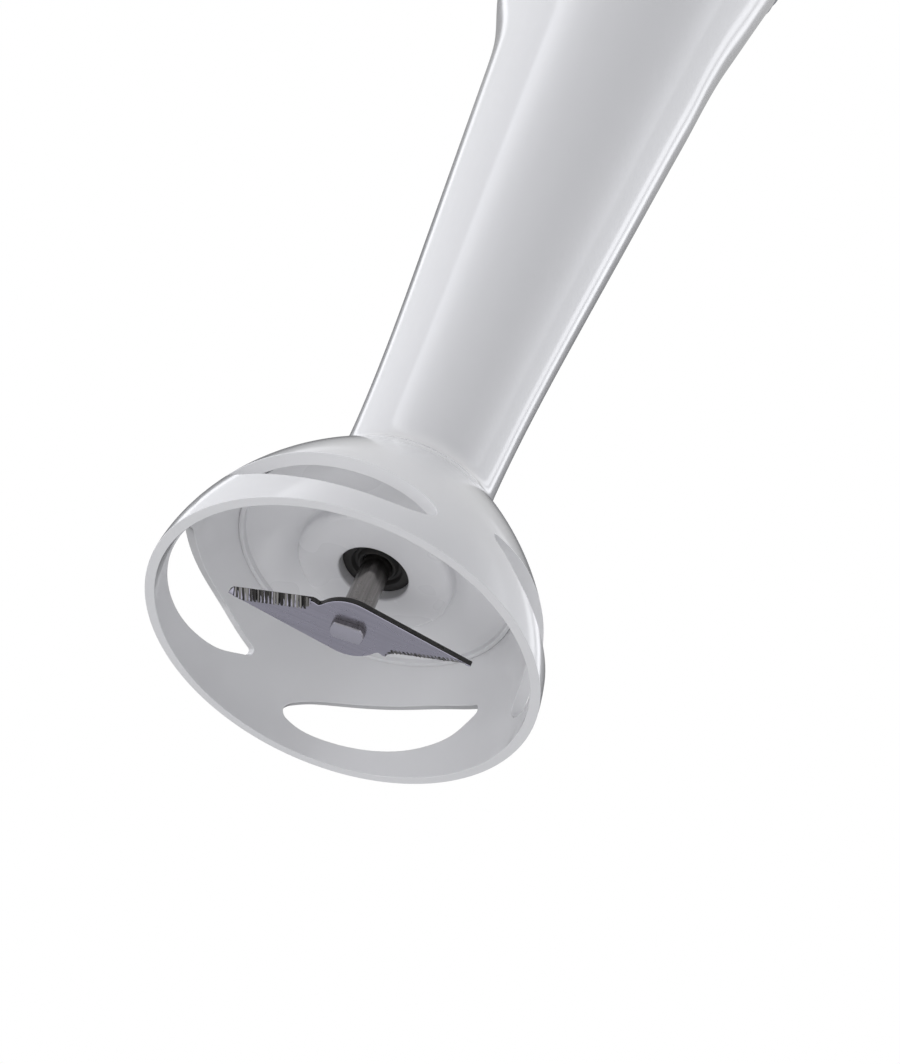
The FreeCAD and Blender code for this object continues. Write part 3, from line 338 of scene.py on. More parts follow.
def plastic(name, colour, roughness, grain=0.0, coat=0.0):
    """Moulded plastic: faint flow marks in the colour, uneven gloss, edges worn lighter. It has a fine
    grain of some depth in mm, or else a shallow wave."""
    material, tree, shader = new_material(name)
    flow = noise(tree, 28.0, 1.0, stretch=(1.0, 1.0, 0.25))
    colour_flow = ramp(tree, flow, tinted(colour, 0.965), tinted(colour, 1.03), 0.2, 0.8)
    edge = add(tree, "ShaderNodeNewGeometry").outputs["Pointiness"]
    worn = ramp(tree, edge, 0.0, 1.0, 0.57, 0.7)
    mix = add(tree, "ShaderNodeMix", data_type="RGBA")
    tree.links.new(worn, mix.inputs["Factor"])
    tree.links.new(colour_flow, mix.inputs["A"])
    mix.inputs["B"].default_value = tinted([min(c * 1.1, 0.95) for c in colour], 1.0)
    tree.links.new(mix.outputs["Result"], shader.inputs["Base Color"])
    handling = noise(tree, 70.0, 1.5)
    tree.links.new(ramp(tree, handling, roughness * 0.75, roughness * 1.3, 0.2, 0.8),
                   shader.inputs["Roughness"])
    if grain:
        bump(tree, shader, noise(tree, 2600.0, 2.0), grain)
    else:
        bump(tree, shader, noise(tree, 190.0, 1.0), MOULD_WAVE)
    shader.inputs["IOR"].default_value = 1.5
    shader.inputs["Coat Weight"].default_value = coat
    shader.inputs["Coat Roughness"].default_value = 0.04
    return material


def painted_light_by_slope(tree, upright, *leaning):
    """Colours faces by how level they are, which paints light and shade into the colour: upright ones
    first, then each (tint, start, end), where start and end are the slopes, as the height of the unit
    normal, between which it takes over."""
    facing = add(tree, "ShaderNodeSeparateXYZ")
    tree.links.new(add(tree, "ShaderNodeNewGeometry").outputs["Normal"], facing.inputs["Vector"])
    level = add(tree, "ShaderNodeMath", operation="ABSOLUTE")
    tree.links.new(facing.outputs["Z"], level.inputs[0])
    for tint, start, end in leaning:
        blend = add(tree, "ShaderNodeMix", data_type="RGBA")
        tree.links.new(ramp(tree, level.outputs[0], 0.0, 1.0, start, end), blend.inputs["Factor"])
        for socket, side in (("A", upright), ("B", tint)):
            if isinstance(side, tuple):
                blend.inputs[socket].default_value = side
            else:
                tree.links.new(side, blend.inputs[socket])
        upright = blend.outputs["Result"]
    return upright


# The heading of the blade's cutting edges in degrees, which the grinding lines run across.
GRIND_HEADING = 66.6
LINE_SCALE = 60.0
LINE_DEPTH = 0.004


def metal(name, colour, roughness, along=(1.0, 1.0, 60.0), contrast=0.12, grind_and_side_shade=None, ends=None):
    """Steel or brass with fine drawn or grinding lines. On a blade, a darker tint gives grinding streaks on
    the bevelled slopes and painted shade on the upright cut sides, and the chamfers get a painted
    highlight. On a shaft, ends is a lighter tint of painted light on level faces, brighter still on the
    chamfers as a painted highlight."""
    material, tree, shader = new_material(name)
    lines = noise(tree, LINE_SCALE, 6.0, 0.7, stretch=along)
    tint = ramp(tree, lines, tinted(colour, 1 - contrast), tinted(colour, 1 + contrast * 0.7), 0.35, 0.65)
    if grind_and_side_shade:
        grinding = noise(tree, 2300.0, 1.0, 0.5, (1.0, 0.03, 0.03), GRIND_HEADING)
        streaks = ramp(tree, grinding, tinted(grind_and_side_shade, 0.3), tinted(grind_and_side_shade, 2.0), 0.42, 0.58)
        # The blade's upright cut sides get painted shade, its chamfers a painted highlight, its bevelled
        # slopes grinding streaks.
        tint = painted_light_by_slope(tree, tinted(grind_and_side_shade, 0.45), (tinted(colour, 1.8), 0.6, 0.67),
                        (streaks, 0.75, 0.79), (tint, 0.93, 0.985))
    if ends:
        # Level faces get a lighter tint as painted light, and the chamfers a brighter one as a painted
        # highlight.
        tint = painted_light_by_slope(tree, tint, (tinted(ends, 1.6), 0.4, 0.6), (tinted(ends, 1.0), 0.85, 0.95))
    tree.links.new(tint, shader.inputs["Base Color"])
    tree.links.new(ramp(tree, noise(tree, 240.0, 3.0), roughness * 0.8, roughness * 1.3, 0.3, 0.7),
                   shader.inputs["Roughness"])
    bump(tree, shader, lines, LINE_DEPTH)
    shader.inputs["Metallic"].default_value = 1.0
    return material


def rubber(name, colour, roughness=0.6):
    """A dull, slightly uneven surface with a fine grain."""
    material, tree, shader = new_material(name)
    tree.links.new(ramp(tree, noise(tree, 160.0, 4.0), tinted(colour, 0.8), tinted(colour, 1.25), 0.3, 0.7),
                   shader.inputs["Base Color"])
    tree.links.new(ramp(tree, noise(tree, 300.0, 2.0), roughness * 0.85, roughness * 1.1),
                   shader.inputs["Roughness"])
    bump(tree, shader, noise(tree, 3200.0, 2.0), 0.01)
    return material


WHITE = (0.715, 0.715, 0.73)
materials = {
    "shell_white": plastic("glossy white plastic", WHITE, 0.16, coat=0.8),
    "insert_white": plastic("satin white plastic", (0.72, 0.72, 0.735), 0.3, grain=0.003),
    "grey_trim": plastic("grey plastic", (0.23, 0.235, 0.25), 0.36, grain=0.006),
    "button_grey": rubber("soft grey button", (0.115, 0.118, 0.125), 0.5),
    # The blade steel's cut sides carry painted shade and its chamfers a painted highlight.
    "blade_steel": metal("ground blade steel", (0.38, 0.37, 0.44), 0.26, (60.0, 1.0, 1.0), contrast=0.08,
                         grind_and_side_shade=(0.17, 0.165, 0.16)),
    # The shaft steel's level faces carry painted light and its chamfers a painted highlight.
    "shaft_steel": metal("drawn shaft steel", (0.33, 0.315, 0.305), 0.24, (16.0, 16.0, 0.3), contrast=0.3,
                         ends=(0.46, 0.45, 0.52)),
    "seal_rubber": rubber("black seal rubber", (0.022, 0.021, 0.02)),
    "bush_bronze": metal("sintered bronze", (0.52, 0.36, 0.18), 0.45),
    "screw_steel": metal("plated screw steel", (0.60, 0.60, 0.58), 0.3),
    "coupling_nylon": plastic("black nylon", (0.03, 0.03, 0.032), 0.45, grain=0.01),
    "board_green": plastic("green circuit board", (0.02, 0.14, 0.05), 0.35),
    "component_black": plastic("black component plastic", (0.025, 0.025, 0.027), 0.5, grain=0.01),
    "spring_steel": metal("spring steel", (0.62, 0.62, 0.62), 0.22),
    "core_steel": metal("laminated steel", (0.22, 0.22, 0.23), 0.5, (1.0, 1.0, 300.0)),
    "copper": metal("enamelled copper", (0.62, 0.25, 0.11), 0.35, (1.0, 1.0, 120.0)),
    "carbon": rubber("pressed carbon", (0.03, 0.03, 0.03), 0.7),
    "brass": metal("stamped brass", (0.68, 0.50, 0.22), 0.3),
    "fan_white": plastic("natural nylon", (0.62, 0.61, 0.57), 0.4),
}
slot_of = {row["node"]: row["material_slot"] for row in frame["record"]["subparts"]}
for node, item in NODES.items():
    item.data.materials.clear()
    item.data.materials.append(materials[slot_of[node]])


def stand_in(name, mesh_data, node, body, edge=0.0, sharp_degrees=40):
    """A piece that takes a CAD node's place and finish and rides on its body, with its edges rounded."""
    piece = tidy_mesh(new_piece(name, mesh_data), sharp_degrees)
    if edge:
        round_edges(piece, edge)
    piece.data.materials.append(materials[slot_of[node]])
    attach(piece, body)
    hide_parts(node)
    return piece


# ---------------------------------------------------------------- wand shell

BELL_RADIUS = 32.5
BELL_HEIGHT = 47.1
DOME_POWER = 1.87
WALL = 2.15
RIM_WALL = 1.65
THIN_HEIGHT = 9.0
SLOT_START = 30.0
SLOT_SPAN = 71.0
SLOT_PITCH = 90.0
DOME_END = 32.6
NECK_END = 44.0
FLARE_START = 158.0
WAND_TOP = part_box("wand_shell")[1].z / MM


def dome(level):
    """The bell's outside radius at a level."""
    return BELL_RADIUS * (1 - (level / BELL_HEIGHT) ** DOME_POWER)


dome_end_slope = -BELL_RADIUS * DOME_POWER / BELL_HEIGHT * (DOME_END / BELL_HEIGHT) ** (DOME_POWER - 1)
FOOT = [(DOME_END, dome(DOME_END)), (35.6, 14.15), (39.5, 13.55), (47.0, 13.67), (56.0, 14.1),
        (93.0, 16.9), (130.0, 20.15), (FLARE_START, 22.6)]
front_reach = cubic(FOOT + [(167.0, 23.5), (176.0, 24.9), (185.9, 27.2), (196.5, 29.9), (208.8, 31.7),
                            (223.6, 32.6), (WAND_TOP, 32.9)], dome_end_slope)
back_reach = cubic(FOOT + [(167.0, 23.4), (176.0, 24.1), (185.9, 24.95), (196.5, 26.1), (208.8, 27.8),
                           (223.6, 29.9), (WAND_TOP, 32.3)], dome_end_slope)


def section(level):
    """(radius, offset towards the back) of the wand's level circle."""
    if level <= DOME_END:
        return dome(level), 0.0
    front, back = front_reach(level), back_reach(level)
    return (front + back) / 2, (back - front) / 2


def wand_point(angle, level, depth):
    """A point on the wand's outside, or some depth into its wall."""
    nudge = 0.05
    low = max(level - nudge, 0.0)
    (r0, c0), (r1, c1) = section(low), section(level + nudge)
    radius, offset = section(level)
    rise = level + nudge - low
    slope = (r1 - r0 + (c1 - c0) * math.sin(angle)) / rise
    length = math.hypot(1, slope)
    inward = depth / length
    lift = depth * slope / length
    return ((radius - inward) * math.cos(angle), offset + (radius - inward) * math.sin(angle), level + lift)


slot_upper = cubic([(0, 12.2), (6, 12.75), (18, 13.6), (32, 13.4), (45, 12.5), (58, 11.0), (66, 9.3),
                    (SLOT_SPAN, 7.5)])
slot_lower = cubic([(0, 11.0), (5, 9.6), (10, 8.15), (18, 6.7), (28, 5.5), (42, 4.6), (56, 4.25),
                    (66, 4.75), (SLOT_SPAN, 5.7)])
START_ROUND = 1.0
END_ROUND = 1.8
END_MIDDLE = (slot_upper(SLOT_SPAN) + slot_lower(SLOT_SPAN)) / 2
START_MIDDLE = (slot_upper(0) + slot_lower(0)) / 2


def slot_edges(degrees):
    """(lower, upper) level of the slot at an angle from its start; a bridge between slots closes up."""
    if degrees > SLOT_SPAN:
        share = (degrees - SLOT_SPAN) / (SLOT_PITCH - SLOT_SPAN)
        ease = share * share * (3 - 2 * share)
        middle = END_MIDDLE + (START_MIDDLE - END_MIDDLE) * ease
        gap = 1.6 * math.sin(math.pi * share)
        return middle - gap / 2, middle + gap / 2
    low, high = slot_lower(degrees), slot_upper(degrees)
    middle, half = (low + high) / 2, (high - low) / 2
    for distance, reach in ((degrees, START_ROUND), (SLOT_SPAN - degrees, END_ROUND)):
        if distance < reach:
            half *= math.sqrt(max(1 - (1 - distance / reach) ** 2, 0))
    return middle - half, middle + half


def wand_wall(level):
    """The wall thins towards the rim."""
    return RIM_WALL + (WALL - RIM_WALL) * min(level / THIN_HEIGHT, 1.0)


def wand_mesh():
    """The wand's shell, with its four slots. Above the slots' rows and a blending band, rows are level."""
    slot_columns = 48
    bridge_columns = 8
    angles = [SLOT_SPAN * (1 - math.cos(math.pi * k / slot_columns)) / 2 for k in range(slot_columns)]
    angles += [SLOT_SPAN + (SLOT_PITCH - SLOT_SPAN) * k / bridge_columns for k in range(bridge_columns)]
    columns = [SLOT_START + SLOT_PITCH * sector + degrees for sector in range(4) for degrees in angles]
    join = 19.0
    upper = []
    for low, high, count in ((join, DOME_END, 14), (DOME_END, NECK_END, 30), (NECK_END, FLARE_START, 50),
                             (FLARE_START, WAND_TOP, 50)):
        upper += list(np.linspace(low, high, count)[1:])
    spacing = [[0.08, 0.2, 0.36, 0.54, 0.72, 0.88, 1.0], [1.0], [0.1, 0.24, 0.4, 0.58, 0.78, 1.0],
               [(level - join) / (WAND_TOP - join) for level in upper]]

    def from_slot_start(degrees):
        return (degrees - SLOT_START) % SLOT_PITCH

    def edges_at(degrees):
        low, high = slot_edges(from_slot_start(degrees))
        return 0.0, low, high, join, WAND_TOP

    def is_open(degrees, band):
        return band == 1 and from_slot_start(degrees) < SLOT_SPAN

    def place(degrees, level, depth):
        return wand_point(math.radians(degrees), level, depth)

    return shell(columns, edges_at, spacing, is_open, place, wand_wall)


stand_in("wand_shell_moulding", wand_mesh(), "wand_shell", "wand", edge=0.38)

# ---------------------------------------------------------------- bell insert and seal

INSERT_FACE = 19.5
INSERT_BACK = 22.5
LIP_FACE = INSERT_FACE - 0.8
BOSS_FACE = 16.9
BOSS_RADIUS = 13.3
SEAL_HOLE = 5.9
SEAL_SEAT = 22.0
SLEEVE_TOP = 39.0
insert_outline = filleted([
    (SEAL_HOLE, BOSS_FACE, 0.45), (BOSS_RADIUS, BOSS_FACE, 1.1), (BOSS_RADIUS, INSERT_FACE, 0.6),
    (23.0, INSERT_FACE, 0.12), (23.2, LIP_FACE, 0.12), (24.2, LIP_FACE, 0.2), (21.3, INSERT_BACK),
    (8.5, INSERT_BACK), (8.5, SLEEVE_TOP), (5.0, SLEEVE_TOP), (5.0, 25.0), (3.6, 25.0),
    (3.6, SEAL_SEAT), (SEAL_HOLE, SEAL_SEAT)])
stand_in("bell_insert_moulding", lathe(stretched(insert_outline, 1.2), 200), "bell_insert", "wand")

SEAL_BASE = 18.6
seal_outline = filleted([
    (2.55, SEAL_BASE + 0.5, 0.1), (3.1, SEAL_BASE, 0.2), (3.5, SEAL_BASE + 1.0, 0.15),
    (4.0, SEAL_BASE + 1.0, 0.15), (4.4, SEAL_BASE + 0.2, 0.2), (SEAL_HOLE - 0.05, SEAL_BASE + 0.2, 0.25),
    (SEAL_HOLE - 0.05, 21.95), (2.55, 21.95)])
stand_in("shaft_seal_lip", lathe(seal_outline, 120), "shaft_seal", "wand")

# ---------------------------------------------------------------- blade and its shaft

BLADE_BASE = 4.64
BLADE_THICK = 1.1
BLADE_TURN = Matrix.Rotation(math.radians(82.6), 3, "Z")
BLADE_TIP = 20.2
CUT_START = Vector((6.6, 3.75))
CUT_END = Vector((BLADE_TIP - 0.55, 0.0))
BACK_TANGENT = Vector((1.82, -6.20))
BACK_END = Vector((BLADE_TIP, -0.8))
GRIND_INWARD = Vector((CUT_END.y - CUT_START.y, CUT_START.x - CUT_END.x)).normalized()
GRIND_WIDTH = 1.35
GRIND_DEPTH = 0.8
TOOTH_PITCH = 0.66
TOOTH_DEPTH = 0.3
TOOTHED_FROM = 0.1
PLAIN_ROOT = 1.2
ROOT_RUNOUT = 1.1
NOTCH = ((6.1, 3.72), (5.7, 3.5), (5.35, 3.35))
HUB_RADIUS = 6.1
HUB_FIRST = 34.0
HUB_LAST = math.degrees(math.atan2(-BACK_TANGENT.y, -BACK_TANGENT.x))
CHAMFER = 0.07
TANG_RADIUS = 2.8
TANG_FLAT = 1.8
TANG_PLAY = 0.03


def blade_rim():
    """Half of the blade's outline as (point, grind width, grind depth, tooth depth), from the back edge
    round the tip, along the cutting edge and round the hub."""
    rim = [(BACK_TANGENT.lerp(BACK_END, k / 24), 0.0, 0.0, 0.0) for k in range(25)]
    rim.append((Vector((BLADE_TIP - 0.02, -0.62)), 0.0, 0.0, 0.0))
    back = (BACK_END - BACK_TANGENT).normalized()
    along = CUT_START - CUT_END
    length = along.length
    steps = round(length / TOOTH_PITCH) * 8
    for k in range(steps + 1):
        run = length * k / steps
        spot = CUT_END + along * (run / length)
        gap = spot - BACK_TANGENT
        room = (abs(gap.x * back.y - gap.y * back.x)
                / abs(GRIND_INWARD.x * back.y - GRIND_INWARD.y * back.x))
        near_root = math.sqrt(max(0.0, 1 - (1 - min((length - run) / ROOT_RUNOUT, 1.0)) ** 2))
        width = min(GRIND_WIDTH, 0.7 * room) * near_root
        phase = run / TOOTH_PITCH % 1.0
        tooth = TOOTH_DEPTH * math.sqrt(max(0.0, 1 - (2 * phase - 1) ** 2))
        toothed = TOOTHED_FROM < run < length - PLAIN_ROOT
        rim.append((spot, width, GRIND_DEPTH * near_root, tooth if toothed else 0.0))
    rim += [(Vector(place), 0.0, 0.0, 0.0) for place in NOTCH]
    hub_steps = 19
    for k in range(1, hub_steps):
        share = k / hub_steps
        ease = share * share * (3 - 2 * share)
        radius = HUB_RADIUS + (BACK_TANGENT.length - HUB_RADIUS) * ease
        spot = spun(radius, HUB_FIRST + (HUB_LAST - HUB_FIRST) * share, 0)
        rim.append((Vector(spot[:2]), 0.0, 0.0, 0.0))
    return rim


def tang_ring(radius, flat, height):
    """A circle of points cut off by flats at some distance to either side."""
    ring = []
    for degrees in range(0, 360, 5):
        reach = min(radius, flat / max(abs(math.sin(math.radians(degrees))), 1e-6))
        ring.append(spun(reach, degrees, height))
    return ring


def blade_mesh():
    """The blade: both halves of the rim as columns of rows down the edge, its two flats filled in round
    the tang's hole."""
    top = BLADE_BASE + BLADE_THICK
    rows = 6
    half = blade_rim()
    rim = [(spot * turn, GRIND_INWARD * turn, *rest) for turn in (1, -1) for spot, *rest in half]
    vertices = []
    for i, (spot, inward, width, depth, tooth) in enumerate(rim):
        ahead = rim[(i + 1) % len(rim)][0] - rim[i - 1][0]
        edge_in = Vector((-ahead.y, ahead.x)).normalized() * CHAMFER
        vertices += [(*(spot + edge_in), top), (*spot, top - CHAMFER)]
        if width < 0.05:
            vertices += [(*spot, BLADE_BASE + CHAMFER)] * (rows - 1) + [(*(spot + edge_in), BLADE_BASE)]
            continue
        slope = math.atan2(depth, width)
        rise = min(depth + tooth / math.cos(slope), BLADE_THICK - 1.5 * CHAMFER)
        reach = width + tooth / math.sin(slope)
        for k in range(rows):
            share = k / (rows - 1)
            vertices.append((*(spot + inward * (reach * share)), BLADE_BASE + rise * (1 - share)))
    size = rows + 2
    faces = []
    for c in range(len(rim)):
        a, b = c * size, (c + 1) % len(rim) * size
        faces += [(a + r, a + r + 1, b + r + 1, b + r) for r in range(size - 1)]
    work = bmesh.new()
    points = [work.verts.new(v) for v in vertices]
    for face in faces:
        work.faces.new([points[i] for i in face])
    hole = {}
    for key, level in (("top", top), ("base", BLADE_BASE)):
        outline = tang_ring(TANG_RADIUS + TANG_PLAY, TANG_FLAT + TANG_PLAY, level)
        hole[key] = [work.verts.new(v) for v in outline]
    ring = len(hole["top"])
    for i in range(ring):
        n = (i + 1) % ring
        work.faces.new([hole["top"][i], hole["top"][n], hole["base"][n], hole["base"][i]])
    bmesh.ops.remove_doubles(work, verts=work.verts, dist=1e-4)
    border = [edge for edge in work.edges if edge.is_boundary]
    for level in (top, BLADE_BASE):
        flat = [edge for edge in border if all(abs(v.co.z - level) < 1e-4 for v in edge.verts)]
        bmesh.ops.triangle_fill(work, use_beauty=True, use_dissolve=False, edges=flat)
    work.verts.index_update()
    result = ([tuple(BLADE_TURN @ v.co) for v in work.verts],
              [tuple(v.index for v in face.verts) for face in work.faces])
    work.free()
    return result


stand_in("blade_plate", blade_mesh(), "blade", "blade_rotor", sharp_degrees=24)

SHAFT_RADIUS = 2.5
SHAFT_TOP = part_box("blade_shaft")[1].z / MM
TANG_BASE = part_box("blade_shaft")[0].z / MM
FLAT_END = 11.5
FLAT_FADE = 4.0
FLAT_REACH = 2.1


def shaft_mesh():
    """The tang, two milled flats that run out into the round shaft, and a lead-in at the far end."""
    def flat_at(level):
        share = min(max((level - FLAT_END) / FLAT_FADE, 0.0), 1.0)
        return FLAT_REACH + (SHAFT_RADIUS - FLAT_REACH) * share ** 2

    shoulder = BLADE_BASE + BLADE_THICK + 0.01
    rings = [tang_ring(TANG_RADIUS - 0.35, TANG_FLAT - 0.35, TANG_BASE),
             tang_ring(TANG_RADIUS - 0.12, TANG_FLAT - 0.12, TANG_BASE + 0.08),
             tang_ring(TANG_RADIUS, TANG_FLAT, TANG_BASE + 0.3),
             tang_ring(TANG_RADIUS, TANG_FLAT, shoulder - 0.02),
             tang_ring(SHAFT_RADIUS - 0.2, TANG_FLAT, shoulder),
             tang_ring(SHAFT_RADIUS - 0.2, flat_at(0) - 0.2, shoulder),
             tang_ring(SHAFT_RADIUS, flat_at(0), shoulder + 0.2)]
    for level in [8.0, FLAT_END] + [FLAT_END + FLAT_FADE * k / 10 for k in range(1, 11)] + [60, 120, 180]:
        rings.append(tang_ring(SHAFT_RADIUS, flat_at(level), level))
    rings += [tang_ring(SHAFT_RADIUS, SHAFT_RADIUS, SHAFT_TOP - 0.5),
              tang_ring(SHAFT_RADIUS - 0.5, SHAFT_RADIUS - 0.5, SHAFT_TOP)]
    return moved(stacked(rings), lambda v: BLADE_TURN @ v)


stand_in("blade_shaft_turned", shaft_mesh(), "blade_shaft", "blade_rotor", sharp_degrees=25)

# ---------------------------------------------------------------- lock collar

LOCK_BASE = 240.4
LOCK_BAND_TOP = 246.4
LOCK_RADIUS = 32.9
LOCK_BORE = 19.35
LOCK_GROOVE = 21.9
LOCK_TOP = 258.5
LOCK_LIP = 248.6
LOCK_POCKET = 256.6
LOCK_SHOULDER = 252.0
LOCK_OPENING = 12.0
GRIP_FLUTES = 60
FLUTE_DEPTH = 0.28
LUG_COUNT = 3
ENTRY_SPAN = 28.0
TWIST = 30.0


def lock_collar_mesh():
    """The collar, with fluted grip band, and entries in its bore for the wand's lugs."""
    steps = 480
    columns = []
    for c in range(steps):
        degrees = 360 * c / steps
        flute = FLUTE_DEPTH * abs(math.sin(math.radians(degrees * GRIP_FLUTES / 2))) ** 0.7 - FLUTE_DEPTH
        across = (degrees + TWIST + ENTRY_SPAN / 2) % (360 / LUG_COUNT)
        bore = LOCK_GROOVE if across < ENTRY_SPAN else LOCK_BORE
        outline = filleted([
            (bore + 1.8, LOCK_BASE), (LOCK_RADIUS - 0.3, LOCK_BASE, 0.5),
            (LOCK_RADIUS - 0.3, LOCK_BASE + 0.9, 0.2), (LOCK_RADIUS + flute, LOCK_BASE + 1.2, 0.2),
            (LOCK_RADIUS + flute, LOCK_BAND_TOP - 1.2, 0.2), (LOCK_RADIUS - 0.3, LOCK_BAND_TOP - 0.9, 0.2),
            (LOCK_RADIUS - 0.3, LOCK_BAND_TOP, 0.5), (30.0, LOCK_BAND_TOP), (30.0, LOCK_SHOULDER),
            (27.0, LOCK_SHOULDER), (27.0, LOCK_TOP), (LOCK_OPENING, LOCK_TOP),
            (LOCK_OPENING, LOCK_POCKET), (LOCK_GROOVE, LOCK_POCKET), (LOCK_GROOVE, LOCK_LIP),
            (bore, LOCK_LIP), (bore, LOCK_BASE + 1.8)], steps=4)
        columns.append([spun(r, degrees, z) for r, z in outline])
    return around(columns)


stand_in("lock_collar_band", lock_collar_mesh(), "lock_collar", "handle")

# ---------------------------------------------------------------- handle housings

HOUSING_BASE = 246.7
HOUSING_TOP = 366.0
HOUSING_WALL = 2.4
HALF_GAP = 0.05
handle_radius = cubic([(HOUSING_BASE, 32.95), (256, 33.0), (268, 32.35), (282, 30.9), (300, 29.0),
                       (318, 27.6), (334, 26.95), (350, 26.8), (HOUSING_TOP, 26.8)], 0.005, 0.0)
SQUARE_REACH = math.radians(48)
WINDOW_HALF = 10.3
HIGH_BUTTON = 331.0
LOW_BUTTON = 348.0
BUTTONS_RADIUS = handle_radius(340)
BOSS_X = 16.5
BOSS_LEVELS = (333.0, 357.5)
HEADS_MIDDLE = 345.0
HEAD_HOLE = 3.0
VENT_LOW = 258.5
VENT_HIGH = 267.5
VENT_HALF = 0.9
VENT_PITCH = 11.0
FRONT = -90.0
BACK = 90.0


def handle_point(middle, degrees, level, depth):
    """A point on the handle, facing a middle direction. Openings near the middle keep square sides."""
    radius = handle_radius(min(max(level, HOUSING_BASE), HOUSING_TOP))
    off = math.radians(degrees - middle)
    inner = radius - depth
    if abs(off) < SQUARE_REACH:
        off = math.asin(radius / inner * math.sin(off))
    else:
        reach = math.asin(radius / inner * math.sin(SQUARE_REACH))
        share = (abs(off) - SQUARE_REACH) / (QUARTER - SQUARE_REACH)
        off = math.copysign(reach + (QUARTER - reach) * share, off)
    x, y, z = spun(inner, middle + math.degrees(off), level)
    facing = math.copysign(1, middle)
    return x, facing * max(facing * y, HALF_GAP), z


def columns_across(middle, x_edges, radius, reach=90.0, step=3.0):
    """Columns in degrees round a middle direction, with one at each of some distances across."""
    marks = [middle + math.degrees(math.asin(x / radius)) for x in x_edges]
    return between([middle - reach, middle + reach] + marks, step)


def round_marks(centre, radius, count=12):
    """Distances across a round opening, closer together towards its sides."""
    return [centre - radius * math.cos(math.pi * k / count) for k in range(count + 1)]


def front_mesh():
    """The front half, with the buttons' window."""
    columns = columns_across(FRONT, round_marks(0, WINDOW_HALF, 28), BUTTONS_RADIUS)

    def half_height(degrees):
        x = BUTTONS_RADIUS * math.sin(math.radians(degrees - FRONT))
        return math.sqrt(max(WINDOW_HALF ** 2 - x * x, 0.0)), abs(x) < WINDOW_HALF

    def edges_at(degrees):
        height, _ = half_height(degrees)
        return HOUSING_BASE, HIGH_BUTTON - height, LOW_BUTTON + height, HOUSING_TOP

    return shell(columns, edges_at, [even(36), even(6), even(5)],
                 lambda degrees, band: band == 1 and half_height(degrees)[1],
                 lambda *spot: handle_point(FRONT, *spot), lambda level: HOUSING_WALL, closed=False)


def rear_mesh():
    """The rear half, with five vents and the four screws' holes."""
    vents = [VENT_PITCH * k for k in (-2, -1, 0, 1, 2)]
    vent_radius = handle_radius((VENT_LOW + VENT_HIGH) / 2)
    marks = [math.degrees(math.asin((x + side * VENT_HALF * s) / vent_radius)) + BACK
             for x in vents for side in (-1, 1) for s in (0.0, 0.38, 0.7, 0.92, 1.0)]
    hole_radius = handle_radius(HEADS_MIDDLE)
    marks += [math.degrees(math.asin(x / hole_radius)) + BACK
              for side in (-1, 1) for x in round_marks(side * BOSS_X, HEAD_HOLE)]
    columns = between(marks + [0.0, 180.0], 3.0)

    def off(degrees, radius, centres, half):
        x = radius * math.sin(math.radians(degrees - BACK))
        return min(abs(abs(x) - abs(centre)) for centre in centres) / half

    def edges_at(degrees):
        vent = math.sqrt(max(1 - off(degrees, vent_radius, vents, VENT_HALF) ** 2, 0.0))
        hole = HEAD_HOLE * math.sqrt(max(1 - off(degrees, hole_radius, [BOSS_X], HEAD_HOLE) ** 2, 0.0))
        low, high = VENT_LOW + VENT_HALF * (1 - vent), VENT_HIGH - VENT_HALF * (1 - vent)
        return (HOUSING_BASE, low, high, BOSS_LEVELS[0] - hole, BOSS_LEVELS[0] + hole,
                BOSS_LEVELS[1] - hole, BOSS_LEVELS[1] + hole, HOUSING_TOP)

    def is_open(degrees, band):
        if band == 1:
            return off(degrees, vent_radius, vents, VENT_HALF) < 1
        return band in (3, 5) and off(degrees, hole_radius, [BOSS_X], HEAD_HOLE) < 1

    spacing = [even(4), even(3), even(24), [1.0], even(6), [1.0], even(3)]
    return shell(columns, edges_at, spacing, is_open, lambda *spot: handle_point(BACK, *spot),
                 lambda level: HOUSING_WALL, closed=False)


def boss_mesh(side, level, facing, profile):
    """A screw boss along Y, from a profile of (radius, y). Where y is None, it follows the housing."""
    rings = []
    for radius, start in profile:
        ring = []
        for degrees in range(0, 360, 9):
            across, up, _ = spun(radius, degrees, 0)
            x = side * BOSS_X + across
            wall_y = math.sqrt((handle_radius(level) - HOUSING_WALL / 2) ** 2 - x * x)
            ring.append((x, facing * (wall_y if start is None else start), level + up))
        rings.append(ring)
    return around([list(column) for column in zip(*rings)])


PILOT = 1.4
SCREW_HOLE = 1.5
BOSS_OUTER = 4.4
HEAD_SEAT = 6.0
REAR_BOSS = [(SCREW_HOLE, HALF_GAP), (BOSS_OUTER, HALF_GAP), (BOSS_OUTER, None), (HEAD_HOLE, None),
             (HEAD_HOLE, HEAD_SEAT), (SCREW_HOLE, HEAD_SEAT)]
FRONT_BOSS = [(PILOT, HALF_GAP), (BOSS_OUTER, HALF_GAP), (BOSS_OUTER, None), (PILOT, None)]
spots = [(side, level) for side in (-1, 1) for level in BOSS_LEVELS]
front_bosses = [boss_mesh(side, level, -1, FRONT_BOSS) for side, level in spots]
rear_bosses = [boss_mesh(side, level, 1, REAR_BOSS) for side, level in spots]
stand_in("front_housing_moulding", joined(front_mesh(), *front_bosses), "front_housing", "handle", edge=0.3)
stand_in("rear_housing_moulding", joined(rear_mesh(), *rear_bosses), "rear_housing", "handle", edge=0.3)

# ---------------------------------------------------------------- button frame and buttons

BEZEL_HALF = 10.2
BEZEL_PROUD = 0.5
BEZEL_CROWN = 0.25
BEZEL_WALL = HOUSING_WALL - 0.2
BUTTON_HOLE = 7.5
BUTTON_RADIUS = 7.2
BUTTON_PROUD = 2.6
STEM_RADIUS = 2.2
STEM_BACK = 20.5
FLANGE_RADIUS = 8.2
FLANGE_BACK = 21.7
FLANGE_FRONT = 22.9


